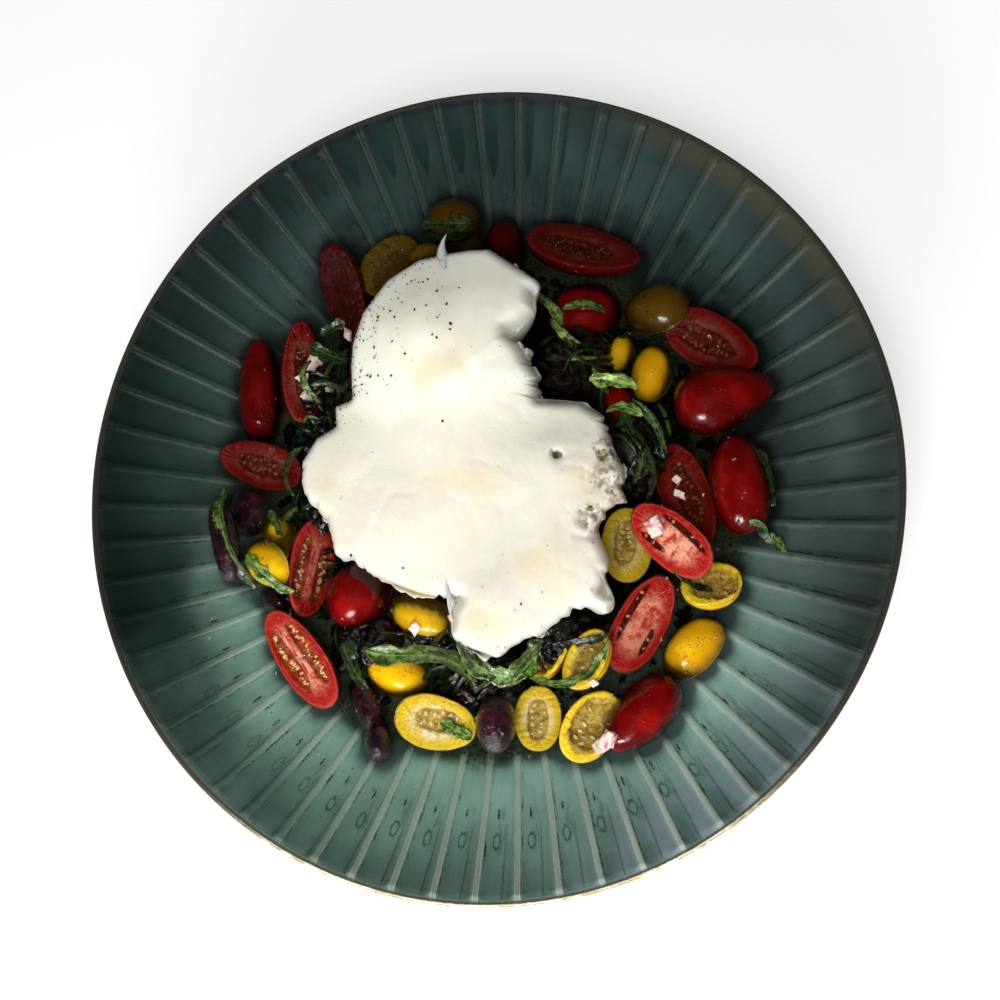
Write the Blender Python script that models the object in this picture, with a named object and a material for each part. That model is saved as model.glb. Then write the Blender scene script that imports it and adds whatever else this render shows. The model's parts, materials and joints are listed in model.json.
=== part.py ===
"""Burrata torn open over halved tomatoes, olives and basil, on its fluted deep plate.

Metres, +Z up. The origin is at the middle of the plate, on the plane that its foot ring
stands on. Every piece of food is let down onto what already lies there, so that it
rests on the plate, the salad or its neighbours without touching them.
"""

import math

import bpy
import numpy as np
from mathutils import Matrix, Vector
from mathutils.bvhtree import BVHTree

MM = 0.001
GAP = 0.4 * MM  # left between two pieces that rest on each other

# Plate
PLATE_R = 135 * MM
PLATE_H = 38 * MM
FLOOR_R = 79 * MM  # flat well, where the fluted wall begins
FLOOR_Z = 9 * MM
FLUTES = 60
RIB_PHASE = math.radians(1.3)
RIB_HALF_WIDTH = 1.1 * MM
RIB_RISE = 0.8 * MM  # of a rib's crown over the wall's own line
PANEL_DIP = 0.7 * MM  # of a panel's middle under it
FLUTE_START = 82.5 * MM
FLUTE_END = 126 * MM
BAND_R = 131 * MM  # inner edge of the plain band at the rim
WALL_POWER = 1.25  # over 1, the wall steepens towards the rim
WALL_THICK = 4.6 * MM
FOOT_OUTER_R = 62 * MM
FOOT_INNER_R = 57 * MM
FOOT_RECESS = 2.8 * MM
FOOT_FLARE = 2 * MM  # by which the foot ring's sides lean outwards at its root
PANEL_LOWS = (0.36, 0.64)  # where a panel's two low lines run, as shares of a flute
WALL_RISE = 27.8 * MM  # from the well to the band at the rim
# The rim's rounding, as distances in from the plate's radius and down from its height
RIM_PROFILE = ((1.6 * MM, 0), (0, 1.4 * MM), (0.8 * MM, 3.4 * MM))
RIM_UNDER = 6 * MM  # in from the plate's radius, where the rim becomes the wall's outside

# Burrata: its outline is that of these lobes together, as (x, y, half-length along x, along y), in mm
LOBES = (
    (-17, 43, 28.5, 35),  # the half that kept its skin
    (1, 60, 15, 21),
    (-10, 6, 42, 41),  # the middle, torn open
    (-43, 5, 20.5, 23),
    (-29, -16, 23, 19),
    (25, 9, 20, 22),
    (25, -22, 19, 18),
    (5, -37, 16, 20),
    (41, -36, 6, 6),  # a shred of curd
)
# Its height: swells of cheese over a level, as (x, y, spread along x, along y, rise), in mm
CHEESE_LEVEL = 35 * MM
SWELLS = (
    (-16, 44, 30, 30, 20),
    (2, 62, 16, 18, 6),
    (-6, 0, 26, 20, 7),
    (-42, 4, 15, 15, 3),
    (27, 6, 14, 14, 4.5),
    (27, -24, 13, 11, 3),
    (4, -38, 12, 12, 3),
    (-27, -17, 13, 11, 3),
)
CHEESE_CENTRE = (-8 * MM, 8 * MM)
CHEESE_RIM_Z = 25 * MM  # where the sides turn under
CHEESE_BASE_Z = 15 * MM
CHEESE_EDGE = 4 * MM  # least height of its side
CHEESE_SIDES = 60
# Rings over the top, as shares of the way from the centre to the edge
CHEESE_RINGS = (0.2, 0.38, 0.54, 0.68, 0.8, 0.9, 0.965, 1.0)
SHOULDER = 3.4  # the higher, the nearer to the edge the cheese stays level before it falls
OUTLINE_STEP = 0.25 * MM

# The underside, from the edge in, as shares of the way out and heights
CHEESE_UNDERSIDE = ((0.94, 20 * MM), (0.85, 18 * MM), (0.74, 16.5 * MM), (0.55, CHEESE_BASE_Z))

# Salad bed: basil, olive and dressing that fill the gaps, as (x, y, radius, top) of its hills, in mm
BED_HILLS = (
    (-62, 38, 17, 30),
    (26, 44, 15, 31),
    (48, 14, 14, 31),
    (26, -48, 12, 26),
    (2, -62, 14, 27),
    (-58, -8, 10, 24),
    (-40, -52, 10, 22),
)
BED_R = 71 * MM
BED_Z = 15 * MM
BED_SIDES = 56
BED_RINGS = 10
BED_WAVES = ((3, 0.04, 0.6), (7, 0.03, 2), (13, 0.02, 0))  # waves round its edge, height, start
BED_THIN = 0.5 * MM  # least thickness, at its edge

# Grid on which the heights of what already lies on the plate are kept
CELL = 1 * MM
REACH = 112 * MM
FAR = 1.0  # well above and below everything
CELLS_AROUND = 7  # within which the burrata and the salad bed keep clear of other pieces
SALAD_UNDER = 2.2 * MM  # leaves and dressing between the well and the lowest pieces

# Pieces in the order in which they are laid: name, x, y, turn of the long axis, roll, length,
# width, depth, taper. Lengths are in mm and angles in degrees. Roll 0 has the cut face up,
# and 180 the skin. A taper over 0 is fatter at the end that the long axis points to.
PIECES = (
    ("red_half_west", -68.5, 41, 94, 40, 36, 15, 9, -0.1),
    ("red_half_southwest_low", -60, -28, 84, 48, 34, 18, 9, 0.1),
    ("red_half_west_cut", -81, 7.5, -14, 14, 30, 16, 9, 0.1),
    ("red_half_east_cut", 66, 0, -66, 12, 36, 17, 9, -0.1),
    ("red_half_north_small", 1, 84, 95, 150, 26, 14, 8, 0.1),
    ("red_half_under_basil", 43, 28, 100, 180, 23, 15, 8, 0.0),
    ("red_half_northeast", 30, 61, 20, 172, 26, 20, 11, 0.0),
    ("red_half_by_cheese", 33, 39, 70, 180, 18, 12, 7, 0.0),
    ("red_half_east_pear_cut", 73, 51, -28, 15, 34, 18, 9, -0.1),
    ("yellow_half_east_low", 47, -17, 92, 10, 25, 17, 8, 0.0),
    ("yellow_half_under_cheese", -22, -42, -17, 180, 25, 16, 8, 0.0),
    ("yellow_half_west_small", -71, -17, 94, 180, 15, 12, 8, 0.0),
    ("yellow_half_south_deep", 22.5, -52, 62, -24, 23, 15, 9, 0.0),
    ("yellow_half_south_olive", 20, -75, 92, 0, 21, 16, 8, 0.0),
    ("olive_torn_southwest", -72, -40, -46, 170, 15, 9, 6, 0.0),
    ("red_half_northwest", -53, 68, 107, -25, 36, 15, 9, 0.1),
    ("yellow_half_northwest", -39.5, 78, 58, 10, 25, 19, 9, -0.1),
    ("yellow_half_north_hidden", -25, 81, 10, 180, 15, 11, 7, 0.0),
    ("yellow_half_north_small", -12, 87, 93, 180, 16, 11, 7, 0.0),
    ("red_half_north", 29, 84, -14, -30, 37, 18, 10, -0.14),
    ("red_half_west_skin", -82, 33.5, 92, 180, 34, 14, 9, -0.1),
    ("yellow_half_northeast_shade", 55, 62, 0, 180, 24, 17, 10, 0.1),
    ("yellow_half_north", -18, 93.5, 0, 180, 19, 16, 9, 0.0),
    ("red_half_east_skin", 83, 4, 100, 178, 34, 20, 11, -0.12),
    ("red_half_east_pear", 78, 31, 15, 180, 32, 20, 11, -0.3),
    ("yellow_half_northeast", 53, 44, 82, 180, 21, 14, 9, 0.0),
    ("yellow_half_northeast_small", 44.5, 47.5, 75, 180, 14, 9, 6, 0.0),
    ("yellow_half_east_cut", 75, -29, 10, -28, 20, 17, 9, 0.0),
    ("red_half_southeast_bright", 62, -16, -39, 14, 32, 17, 9, 0.1),
    ("red_half_southeast_cut", 53, -42, 64, 10, 35, 17, 10, -0.1),
    ("yellow_half_east_skin", 70, -50, 47, 180, 24, 16, 10, 0.0),
    ("yellow_half_southeast", 36, -55.5, 62, -28, 21, 15, 8, 0.0),
    ("yellow_half_south_east_cut", 35, -75, 58, 18, 25, 18, 9, 0.0),
    ("red_half_south_skin", 54, -72, 47, 180, 31, 18, 11, 0.12),
    ("red_half_southwest_dome", -44, -36, 60, 180, 25, 21, 12, 0.0),
    ("red_half_southwest_cut", -61, -59, -51, 12, 39, 17, 10, 0.08),
    ("yellow_half_west_skin", -74, -27, -36, 180, 21, 14, 9, 0.0),
    ("yellow_half_south_skin", -29.5, -62.5, -15, 180, 23, 15, 9, 0.0),
    ("yellow_half_south_cut", -14, -78, -9, 8, 28, 18, 9, -0.08),
    ("olive_whole", 7, -77.5, 93, 0, 19, 13, 13, 0.0),
    ("olive_torn_west", -84, -8, 94, 160, 17, 14, 8, 0.0),
    ("olive_crescent_west", -90, -20, -75, 130, 28, 10, 7, 0.0),
    ("olive_long_south", -40, -71, -61, 170, 22, 10, 6, 0.0),
    ("olive_torn_south", -33, -86, 93, 170, 12, 9, 6, 0.0),
)
SHIFT = 1 * MM  # steps by which a piece slides and tips as it settles
TIP = 5  # degrees
MOST_SHIFT = 4 * MM
MOST_TIP = 30
SETTLING_ROUNDS = 12
COST_OF_SHIFT = 0.8  # height that a piece has to gain for each length that it slides
COST_OF_TIP = 0.05 * MM  # and for each degree
LEAST_GAIN = 0.01 * MM
LONG_STEPS = 8  # round a tomato from tip to tip
SIDE_STEPS = 6  # over its skin from one side of the cut to the other
OLIVE_SIDES = 10
ROUNDNESS = 0.9  # below 1, fuller towards the tips than an ellipse


def clear_scene():
    for obj in list(bpy.data.objects):
        bpy.data.objects.remove(obj, do_unlink=True)


def material(name, colour, roughness):
    made = bpy.data.materials.new(name)
    made.use_nodes = True
    shader = made.node_tree.nodes["Principled BSDF"]
    shader.inputs["Base Color"].default_value = (*colour, 1)
    shader.inputs["Roughness"].default_value = roughness
    shader.inputs["Metallic"].default_value = 0
    return made


def add_object(name, points, faces, finish):
    mesh = bpy.data.meshes.new(name)
    mesh.from_pydata([tuple(p) for p in points], [], [tuple(f) for f in faces])
    mesh.materials.append(finish)
    mesh.shade_smooth()
    mesh.set_sharp_from_angle(angle=math.radians(40))
    obj = bpy.data.objects.new(name, mesh)
    bpy.context.scene.collection.objects.link(obj)
    return obj


def stitch(first, count, following, following_count):
    """Triangles between two rings of points. The larger count is a whole multiple of the smaller."""
    faces = []
    if count <= following_count:
        many = following_count // count
        for i in range(count):
            here, after = first + i, first + (i + 1) % count
            for k in range(many):
                a = following + (i * many + k) % following_count
                b = following + (i * many + k + 1) % following_count
                faces.append((here, a, b))
            faces.append((here, b, after))
        return faces
    return [(a, c, b) for a, b, c in stitch(following, following_count, first, count)]


def lofted_rings(rings, start, end):
    """A closed skin from the point start, out through rings of points, to the point end.
    Rings run counterclockwise seen from the side that start faces."""
    points, firsts = [start], []
    for ring in rings:
        firsts.append(len(points))
        points.extend(ring)
    points.append(end)
    counts = [len(ring) for ring in rings]
    faces = [(0, firsts[0] + i, firsts[0] + (i + 1) % counts[0]) for i in range(counts[0])]
    for i in range(len(rings) - 1):
        faces += stitch(firsts[i], counts[i], firsts[i + 1], counts[i + 1])
    last, count = firsts[-1], counts[-1]
    faces += [(len(points) - 1, last + (i + 1) % count, last + i) for i in range(count)]
    return points, faces


# Plate ------------------------------------------------------------------------------------


def wall_z(radius):
    """Height of the wall's own line, between ribs and panels: flat, then a curve up to the rim."""
    share = np.clip((radius - FLOOR_R) / (BAND_R - FLOOR_R), 0, 1)
    return FLOOR_Z + WALL_RISE * share**WALL_POWER


def plain_ring(radius, z, sides):
    angles = [RIB_PHASE + 2 * math.pi * i / sides for i in range(sides)]
    return [(radius * math.cos(a), radius * math.sin(a), z) for a in angles]


def fluted_ring(radius):
    """Four points to a flute: the two edges of a rib's crown, then two low in the panel."""
    pitch = 2 * math.pi / FLUTES
    half_rib = RIB_HALF_WIDTH / radius
    offsets = [(-half_rib, RIB_RISE), (half_rib, RIB_RISE)]
    offsets += [(share * pitch, -PANEL_DIP) for share in PANEL_LOWS]
    ring = []
    for i in range(FLUTES):
        for turn, rise in offsets:
            angle = RIB_PHASE + i * pitch + turn
            ring.append((radius * math.cos(angle), radius * math.sin(angle), wall_z(radius) + rise))
    return ring


def plate():
    """Inner side from the middle out to the rim, then the plain outside down to the foot ring."""
    flute_middle = (FLUTE_START + FLUTE_END) / 2
    rings = [
        plain_ring(FLOOR_R, FLOOR_Z, FLUTES),
        fluted_ring(FLUTE_START),
        fluted_ring(flute_middle),
        fluted_ring(FLUTE_END),
        plain_ring(BAND_R, wall_z(BAND_R), 2 * FLUTES),
    ]
    for (inward, down), sides in zip(RIM_PROFILE, (2 * FLUTES, FLUTES, FLUTES)):
        rings.append(plain_ring(PLATE_R - inward, PLATE_H - down, sides))
    for radius in (PLATE_R - RIM_UNDER, flute_middle, FLUTE_START):
        rings.append(plain_ring(radius, wall_z(radius) - WALL_THICK, FLUTES))
    rings += [
        plain_ring(FOOT_OUTER_R + FOOT_FLARE, FLOOR_Z - WALL_THICK, FLUTES),
        plain_ring(FOOT_OUTER_R, 0, FLUTES),
        plain_ring(FOOT_INNER_R, 0, FLUTES),
        plain_ring(FOOT_INNER_R - FOOT_FLARE, FOOT_RECESS, FLUTES),
    ]
    return lofted_rings(rings, (0, 0, FLOOR_Z), (0, 0, FOOT_RECESS))


# Heights of what lies on the plate ----------------------------------------------------------


def cell_centres():
    steps = int(round(2 * REACH / CELL))
    line = -REACH + CELL * (np.arange(steps) + 0.5)
    return line, steps


def envelope(points, faces, with_top=True):
    """Lowest and highest surface of a solid over each cell of the grid, and nan where it isn't."""
    line, steps = cell_centres()
    tree = BVHTree.FromPolygons([Vector(p) for p in points], [tuple(f) for f in faces])
    low = np.full((steps, steps), np.nan)
    high = np.full((steps, steps), np.nan)
    corners = np.asarray(points, float)
    first = np.clip(((corners.min(0) + REACH) / CELL).astype(int) - 1, 0, steps)
    last = np.clip(((corners.max(0) + REACH) / CELL).astype(int) + 2, 0, steps)
    for i in range(first[0], last[0]):
        for j in range(first[1], last[1]):
            up = tree.ray_cast(Vector((line[i], line[j], -FAR)), Vector((0, 0, 1)))
            if up[0] is None:
                continue
            low[i, j] = up[0].z
            if with_top:
                high[i, j] = tree.ray_cast(Vector((line[i], line[j], FAR)), Vector((0, 0, -1)))[0].z
    return low, high


def spread(heights, cells, pick):
    """Each cell takes the highest (np.fmax) or lowest (np.fmin) of those up to some cells away."""
    wide = heights.copy()
    for axis in (0, 1):
        source = wide.copy()
        for shift in range(-cells, cells + 1):
            wide = pick(wide, np.roll(source, shift, axis))
    return wide


def height_at(heights, x, y):
    """Value of the nearest cell to a place."""
    steps = heights.shape[0]
    i, j = (min(max(int((v + REACH) / CELL), 0), steps - 1) for v in (x, y))
    return heights[i, j]


class Heap:
    """What lies on the plate so far: its top, and the underside that the salad bed stays under."""

    def __init__(self, points, faces):
        line, _ = cell_centres()
        radius = np.hypot(line[:, None], line[None, :])
        _, high = envelope(points, faces)
        self.top = high + np.where(radius > FLOOR_R, 0, SALAD_UNDER)
        self.underside = np.full(radius.shape, FAR)

    def add(self, points, faces):
        low, high = envelope(points, faces)
        self.top = np.fmax(self.top, high)
        self.underside = np.fmin(self.underside, low)

    def settle(self, points, faces, x, y, turn, roll):
        """Lets a piece down where its middle comes to lie lowest: from its wanted place it slides and
        tips by small steps, as long as that pays. Returns the points where it rests."""
        roof = spread(self.top, 1, np.fmax)

        def rest(state):
            dx, dy, tip, more_roll = state
            turned = placed(points, x + dx, y + dy, turn, tip, roll + more_roll)
            low, _ = envelope(turned, faces, with_top=False)
            lift = np.nanmax(roof - low) + GAP
            middle = sum(z for _, _, z in turned) / len(turned) + lift
            cost = middle + COST_OF_SHIFT * math.hypot(dx, dy) + COST_OF_TIP * math.hypot(tip, more_roll)
            return cost, [(px, py, pz + lift) for px, py, pz in turned]

        state = (0, 0, 0, 0)
        best = rest(state)
        steps = (SHIFT, SHIFT, TIP, TIP)
        most = (MOST_SHIFT, MOST_SHIFT, MOST_TIP, MOST_TIP)
        for _ in range(SETTLING_ROUNDS):
            tries = []
            for axis in range(4):
                for sign in (-1, 1):
                    moved = tuple(v + sign * steps[axis] * (k == axis) for k, v in enumerate(state))
                    if abs(moved[axis]) <= most[axis]:
                        tries.append((*rest(moved), moved))
            cost, where, moved = min(tries, key=lambda found: found[0])
            if cost >= best[0] - LEAST_GAIN:
                break
            best, state = (cost, where), moved
        self.add(best[1], faces)
        return best[1]


# Pieces -------------------------------------------------------------------------------------


def half_round(length, width, depth, taper):
    """Half an egg, cut along its axis. At t = -cos(turn) along the axis the half-width is
    sin(turn)^ROUNDNESS (1 + taper t), and the skin runs in a half-ellipse under the flat cut."""
    points = [(-length / 2, 0, 0)]
    for i in range(1, LONG_STEPS):
        turn = math.pi * i / LONG_STEPS
        along = -math.cos(turn)
        swell = math.sin(turn) ** ROUNDNESS * (1 + taper * along)
        for j in range(SIDE_STEPS + 1):
            side = math.pi * j / SIDE_STEPS
            across = width / 2 * swell * math.cos(side)
            points.append((length / 2 * along, across, -depth * swell * math.sin(side)))
    points.append((length / 2, 0, 0))
    row = SIDE_STEPS + 1
    last = len(points) - 1
    faces = []
    for j in range(SIDE_STEPS):
        faces.append((0, 1 + j, 1 + j + 1))
        faces.append((last, last - row + j + 1, last - row + j))
    for i in range(LONG_STEPS - 2):
        for j in range(SIDE_STEPS):
            a = 1 + i * row + j
            faces += [(a, a + row + 1, a + 1), (a, a + row, a + row + 1)]
    left = [1 + i * row for i in range(LONG_STEPS - 1)]
    right = [1 + i * row + SIDE_STEPS for i in range(LONG_STEPS - 1)]
    cut = [0] + right + [last] + left[::-1]
    faces += [(cut[0], cut[k], cut[k + 1]) for k in range(1, len(cut) - 1)]
    return points, faces


def whole_round(length, width, height):
    """A stretched ball, in rings along its axis."""
    rings = []
    for i in range(LONG_STEPS - 1, 0, -1):
        turn = math.pi * i / LONG_STEPS
        along = -length / 2 * math.cos(turn)
        swell = math.sin(turn) ** ROUNDNESS
        ring = []
        for j in range(OLIVE_SIDES):
            side = 2 * math.pi * j / OLIVE_SIDES
            ring.append((along, width / 2 * swell * math.cos(side), height / 2 * swell * math.sin(side)))
        rings.append(ring)
    return lofted_rings(rings, (length / 2, 0, 0), (-length / 2, 0, 0))


def placed(points, x, y, turn, tip, roll):
    """Rolls a piece about its long axis, lifts its tip, turns it and moves it over its place."""
    matrix = (
        Matrix.Translation((x, y, 0))
        @ Matrix.Rotation(math.radians(turn), 4, "Z")
        @ Matrix.Rotation(math.radians(-tip), 4, "Y")
        @ Matrix.Rotation(math.radians(roll), 4, "X")
    )
    return [tuple(matrix @ Vector(p)) for p in points]


def piece(heap, row, finishes):
    name, x, y, turn, roll, length, width, depth, taper = row
    if name == "olive_whole":
        points, faces = whole_round(length * MM, width * MM, depth * MM)
    else:
        points, faces = half_round(length * MM, width * MM, depth * MM, taper)
    points = heap.settle(points, faces, x * MM, y * MM, turn, roll)
    return add_object(name, points, faces, finishes[name.split("_")[0]])


# Burrata ------------------------------------------------------------------------------------


def ellipse_share(x, y, cx, cy, half_x, half_y):
    """Square of the distance from an ellipse's middle, 1 on the ellipse."""
    return ((x / MM - cx) / half_x) ** 2 + ((y / MM - cy) / half_y) ** 2


def cheese_top(x, y, share):
    """The level and its swells over a place, let down in a round shoulder towards the edge."""
    rise = CHEESE_LEVEL - CHEESE_RIM_Z
    for cx, cy, wide_x, wide_y, swell in SWELLS:
        rise += swell * MM * math.exp(-ellipse_share(x, y, cx, cy, wide_x, wide_y))
    return CHEESE_RIM_Z + rise * math.sqrt(1 - share**SHOULDER)


def cheese_reach(angle):
    """Distance from the centre to the outline in one direction: the furthest place in any lobe."""
    dx, dy = math.cos(angle), math.sin(angle)
    distance = REACH
    while True:
        x = CHEESE_CENTRE[0] + distance * dx
        y = CHEESE_CENTRE[1] + distance * dy
        if any(ellipse_share(x, y, *lobe) < 1 for lobe in LOBES):
            return distance
        distance -= OUTLINE_STEP


def burrata(heap, finish):
    """A skin of rings over the top, turned under at the edge onto what lies below."""
    roof = spread(heap.top, CELLS_AROUND, np.fmax)
    angles = [2 * math.pi * i / CHEESE_SIDES for i in range(CHEESE_SIDES)]
    reach = [cheese_reach(a) for a in angles]
    rings = []

    def place(i, share):
        x = CHEESE_CENTRE[0] + share * reach[i] * math.cos(angles[i])
        y = CHEESE_CENTRE[1] + share * reach[i] * math.sin(angles[i])
        return x, y

    def base(x, y, wanted):
        return max(wanted, height_at(roof, x, y) + GAP)

    for share in CHEESE_RINGS:
        ring = []
        for i in range(CHEESE_SIDES):
            x, y = place(i, share)
            ring.append((x, y, max(cheese_top(x, y, share), base(x, y, 0) + CHEESE_EDGE)))
        rings.append(ring)
    for share, wanted in CHEESE_UNDERSIDE:
        rings.append([(*place(i, share), base(*place(i, share), wanted)) for i in range(CHEESE_SIDES)])
    x, y = CHEESE_CENTRE
    top, bottom = (x, y, cheese_top(x, y, 0)), (x, y, base(x, y, CHEESE_BASE_Z))
    points, faces = lofted_rings(rings, top, bottom)
    heap.add(points, faces)
    return add_object("burrata", points, faces, finish)


# Salad bed ----------------------------------------------------------------------------------


def bed_outline(angle):
    """An uneven round: three waves on a circle."""
    return BED_R * (1 + sum(high * math.sin(count * angle + start) for count, high, start in BED_WAVES))


def bed_top(x, y):
    """Level salad with round hills where no tomato covers it."""
    top = BED_Z
    for cx, cy, radius, peak in BED_HILLS:
        far = math.hypot(x - cx * MM, y - cy * MM) / (radius * MM)
        top = max(top, BED_Z + (peak * MM - BED_Z) * max(0.0, 1 - far**2))
    return top


def salad_bed(heap, finish):
    """One solid under and between the pieces, held a gap below the underside of each."""
    ceiling = spread(heap.underside, CELLS_AROUND, np.fmin)
    rings = []
    lowest = FLOOR_Z + GAP
    for k in range(1, BED_RINGS + 1):
        share = (k / BED_RINGS) ** 0.8
        ring = []
        for i in range(BED_SIDES):
            angle = 2 * math.pi * i / BED_SIDES
            radius = share * bed_outline(angle)
            x, y = radius * math.cos(angle), radius * math.sin(angle)
            top = min(bed_top(x, y), height_at(ceiling, x, y) - GAP)
            ring.append((x, y, max(top, lowest + BED_THIN)))
        rings.append(ring)
    rings.append([(x, y, lowest) for x, y, _ in rings[-1]])
    middle = min(BED_Z, height_at(ceiling, 0, 0) - GAP)
    points, faces = lofted_rings(rings, (0, 0, middle), (0, 0, lowest))
    return add_object("salad_bed", points, faces, finish)


def main():
    clear_scene()
    glaze = material("plate_glaze", (0.09, 0.16, 0.16), 0.25)
    cheese = material("cheese", (0.92, 0.86, 0.76), 0.35)
    green = material("basil_green", (0.02, 0.05, 0.015), 0.4)
    finishes = {
        "red": material("tomato_red", (0.50, 0.03, 0.02), 0.2),
        "yellow": material("tomato_yellow", (0.72, 0.42, 0.04), 0.2),
        "olive": material("olive_purple", (0.05, 0.015, 0.03), 0.25),
    }
    points, faces = plate()
    add_object("plate", points, faces, glaze)
    heap = Heap(points, faces)
    for row in PIECES:
        piece(heap, row, finishes)
    burrata(heap, cheese)
    salad_bed(heap, green)


main()
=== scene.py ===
"""Burrata torn open over halved tomatoes, olives and basil, on its fluted deep plate: the looks.

Metres, in the frame of the solids: +Z up, the origin at the middle of the plate's foot. Every
piece is a surface worked out on a grid, and takes its place from the solid that it stands for.
"""

import json
import math

import bpy
import numpy as np
from mathutils import Matrix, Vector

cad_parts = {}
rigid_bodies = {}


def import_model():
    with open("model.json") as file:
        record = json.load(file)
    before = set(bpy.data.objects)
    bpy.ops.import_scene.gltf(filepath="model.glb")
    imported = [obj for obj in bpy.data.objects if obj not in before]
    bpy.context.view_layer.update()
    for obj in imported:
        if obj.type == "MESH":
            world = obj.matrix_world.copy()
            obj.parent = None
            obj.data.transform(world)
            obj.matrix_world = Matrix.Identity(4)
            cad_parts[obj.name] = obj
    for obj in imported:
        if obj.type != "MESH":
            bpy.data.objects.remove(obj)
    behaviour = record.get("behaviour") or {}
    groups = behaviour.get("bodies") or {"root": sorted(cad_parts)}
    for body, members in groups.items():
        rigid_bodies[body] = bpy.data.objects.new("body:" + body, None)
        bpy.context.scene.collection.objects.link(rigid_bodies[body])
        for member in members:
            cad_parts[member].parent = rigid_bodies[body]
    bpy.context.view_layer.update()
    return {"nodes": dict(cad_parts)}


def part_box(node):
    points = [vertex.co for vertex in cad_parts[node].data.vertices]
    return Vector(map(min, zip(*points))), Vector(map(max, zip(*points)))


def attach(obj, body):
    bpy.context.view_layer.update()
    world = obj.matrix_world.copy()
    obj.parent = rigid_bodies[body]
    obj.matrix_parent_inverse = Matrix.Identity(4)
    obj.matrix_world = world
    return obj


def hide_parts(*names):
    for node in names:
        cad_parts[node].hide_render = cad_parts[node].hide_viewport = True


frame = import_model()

MM = 0.001
ROUND = 2 * math.pi

# Plate, as in the solids
FLOOR_R = 79 * MM
FLOOR_Z = 9 * MM
FLUTES = 60
RIB_PHASE = math.radians(1.3)
BAND_R = 131 * MM
WALL_RISE = 27.8 * MM
WALL_POWER = 1.25
FOOT_RECESS = 2.8 * MM
PITCH = ROUND / FLUTES

# Fluting
RIB_HALF = 0.75 * MM  # half-width of a rib's crown
RIB_RISE = 0.62 * MM
PANEL_DIP = 0.75 * MM
PANEL_END_R = 132.4 * MM  # where the panels' arched ends stand
PANEL_CORNER = 3.8 * MM  # radius of their corners
RIB_START_R = 80 * MM
# Thrown by hand, the fluting runs round unevenly: ahead of its even place by
# WANDER (1 - cos turn) + LEAN sin turn
WANDER = math.radians(1.5)
LEAN = math.radians(0.4)
MARKS = 62  # columns of glaze marks, which don't keep step with the flutes
MARK_PITCH = ROUND / MARKS
MARK_PHASE = math.radians(0.87)
# Shares of a flute at which its section has points, from the rib's middle to the panel's
FLUTE_SHARES = (0, 0.035, 0.065, 0.095, 0.125, 0.16, 0.21, 0.28, 0.36, 0.44)
WELL_RINGS = (10, 30, 50, 65, 74, 77, 78.5, 79.5, 80.2, 81, 82, 83.2)  # radii in mm
# Over the rim and down the outside to the foot, as radius and height in mm
RIM = (
    ((133.5, 37.8), (133.9, 37.95), (134.3, 37.8), (134.7, 37.4), (134.95, 36.7), (134.95, 35.9))
    + ((134.7, 35.1), (134.1, 34.3), (132.6, 33.2), (129, 30.6), (120, 24.6), (108, 17.2), (96, 10.9))
    + ((86, 6.4), (78, 4.5), (66, 4.35), (63.4, 4.1), (62.4, 2.6), (62, 0.5), (61.4, 0), (57.6, 0))
    + ((57, 0.6), (56, 2.2), (54, 2.8), (20, 2.8))
)

# Burrata: its outline seen from above in mm, round from the west of the notch by the smooth dome
OUTLINE = (
    ((-47, 38), (-47, 46), (-44, 57), (-36, 69), (-25, 77), (-16, 79), (-8, 80.5), (-1, 81))
    + ((6, 76.5), (14.5, 71.5), (15.5, 68.5), (13.5, 66), (14, 60), (11, 55), (7.5, 51.5), (7.5, 50))
    + ((11, 46.5), (13, 43), (16.5, 38), (17, 30.5), (30, 30), (39, 25), (42, 16), (46, 7))
    + ((46.5, -3.5), (42, -6), (38, -13), (41, -19), (43, -24), (40, -32), (45, -35), (42, -41))
    + ((36, -38.5), (30, -40.5), (19, -49), (13, -51), (7, -56), (-5, -52), (-10, -49), (-9, -40))
    + ((-7, -36), (-14, -36.5), (-21, -35.5), (-35, -31), (-45, -26), (-50, -25), (-53, -13))
    + ((-61, -6), (-63, 0), (-63, 7), (-58, 15.5), (-51.5, 19), (-52.5, 26), (-46, 28), (-46.5, 33))
)
CHEESE_LEVEL = 35 * MM
# Swells over the level: middle, half-lengths along x and y, and rise, in mm
SWELLS = (
    ((-16, 44, 30, 30, 19), (4, 62, 14, 14, 2), (-6, 0, 30, 24, 7), (-42, 4, 17, 17, 3))
    + ((27, 6, 17, 17, 4.5), (27, -24, 17, 15, 4), (4, -38, 17, 15, 4.5), (-27, -17, 17, 14, 4))
)
CHEESE_CENTRE = (-12 * MM, 30 * MM)
CHEESE_RIM_Z = 25 * MM
CHEESE_EDGE = 5.5 * MM  # width of its rounded edge
CHEESE_LIFT = 9 * MM  # how much higher its edge hangs on the dome's east
CHEESE_GRID = (110, 760)  # rings, and points round each
# Where cream has pooled, where the curd is torn deepest, and its holes: (x, y, radius) in mm
CREAM = (
    ((-29, 44, 12), (-12, 35, 13), (-48, -2, 10), (-2, -4, 15), (34, 0, 8))
    + ((22, -26, 12), (-22, -36, 9), (-18, 59, 8), (5, -45, 9))
)
CURD = ((42, 12, 6), (42, 2, 7), (37, -11, 6), (44, -3, 5))
HOLES = ((25.5, 9, 2.3), (39.5, 9.5, 2.6), (37, -8, 1.3))
STRAND = ((-13, 64, 45.4), (-14.5, 70, 43.4), (-16, 75.5, 41.2), (-16.6, 80, 39), (-15.6, 84.5, 37.6))
STRAND_WIDTHS = (8.5, 6.4, 4.6, 2.2, 0.3)

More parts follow.
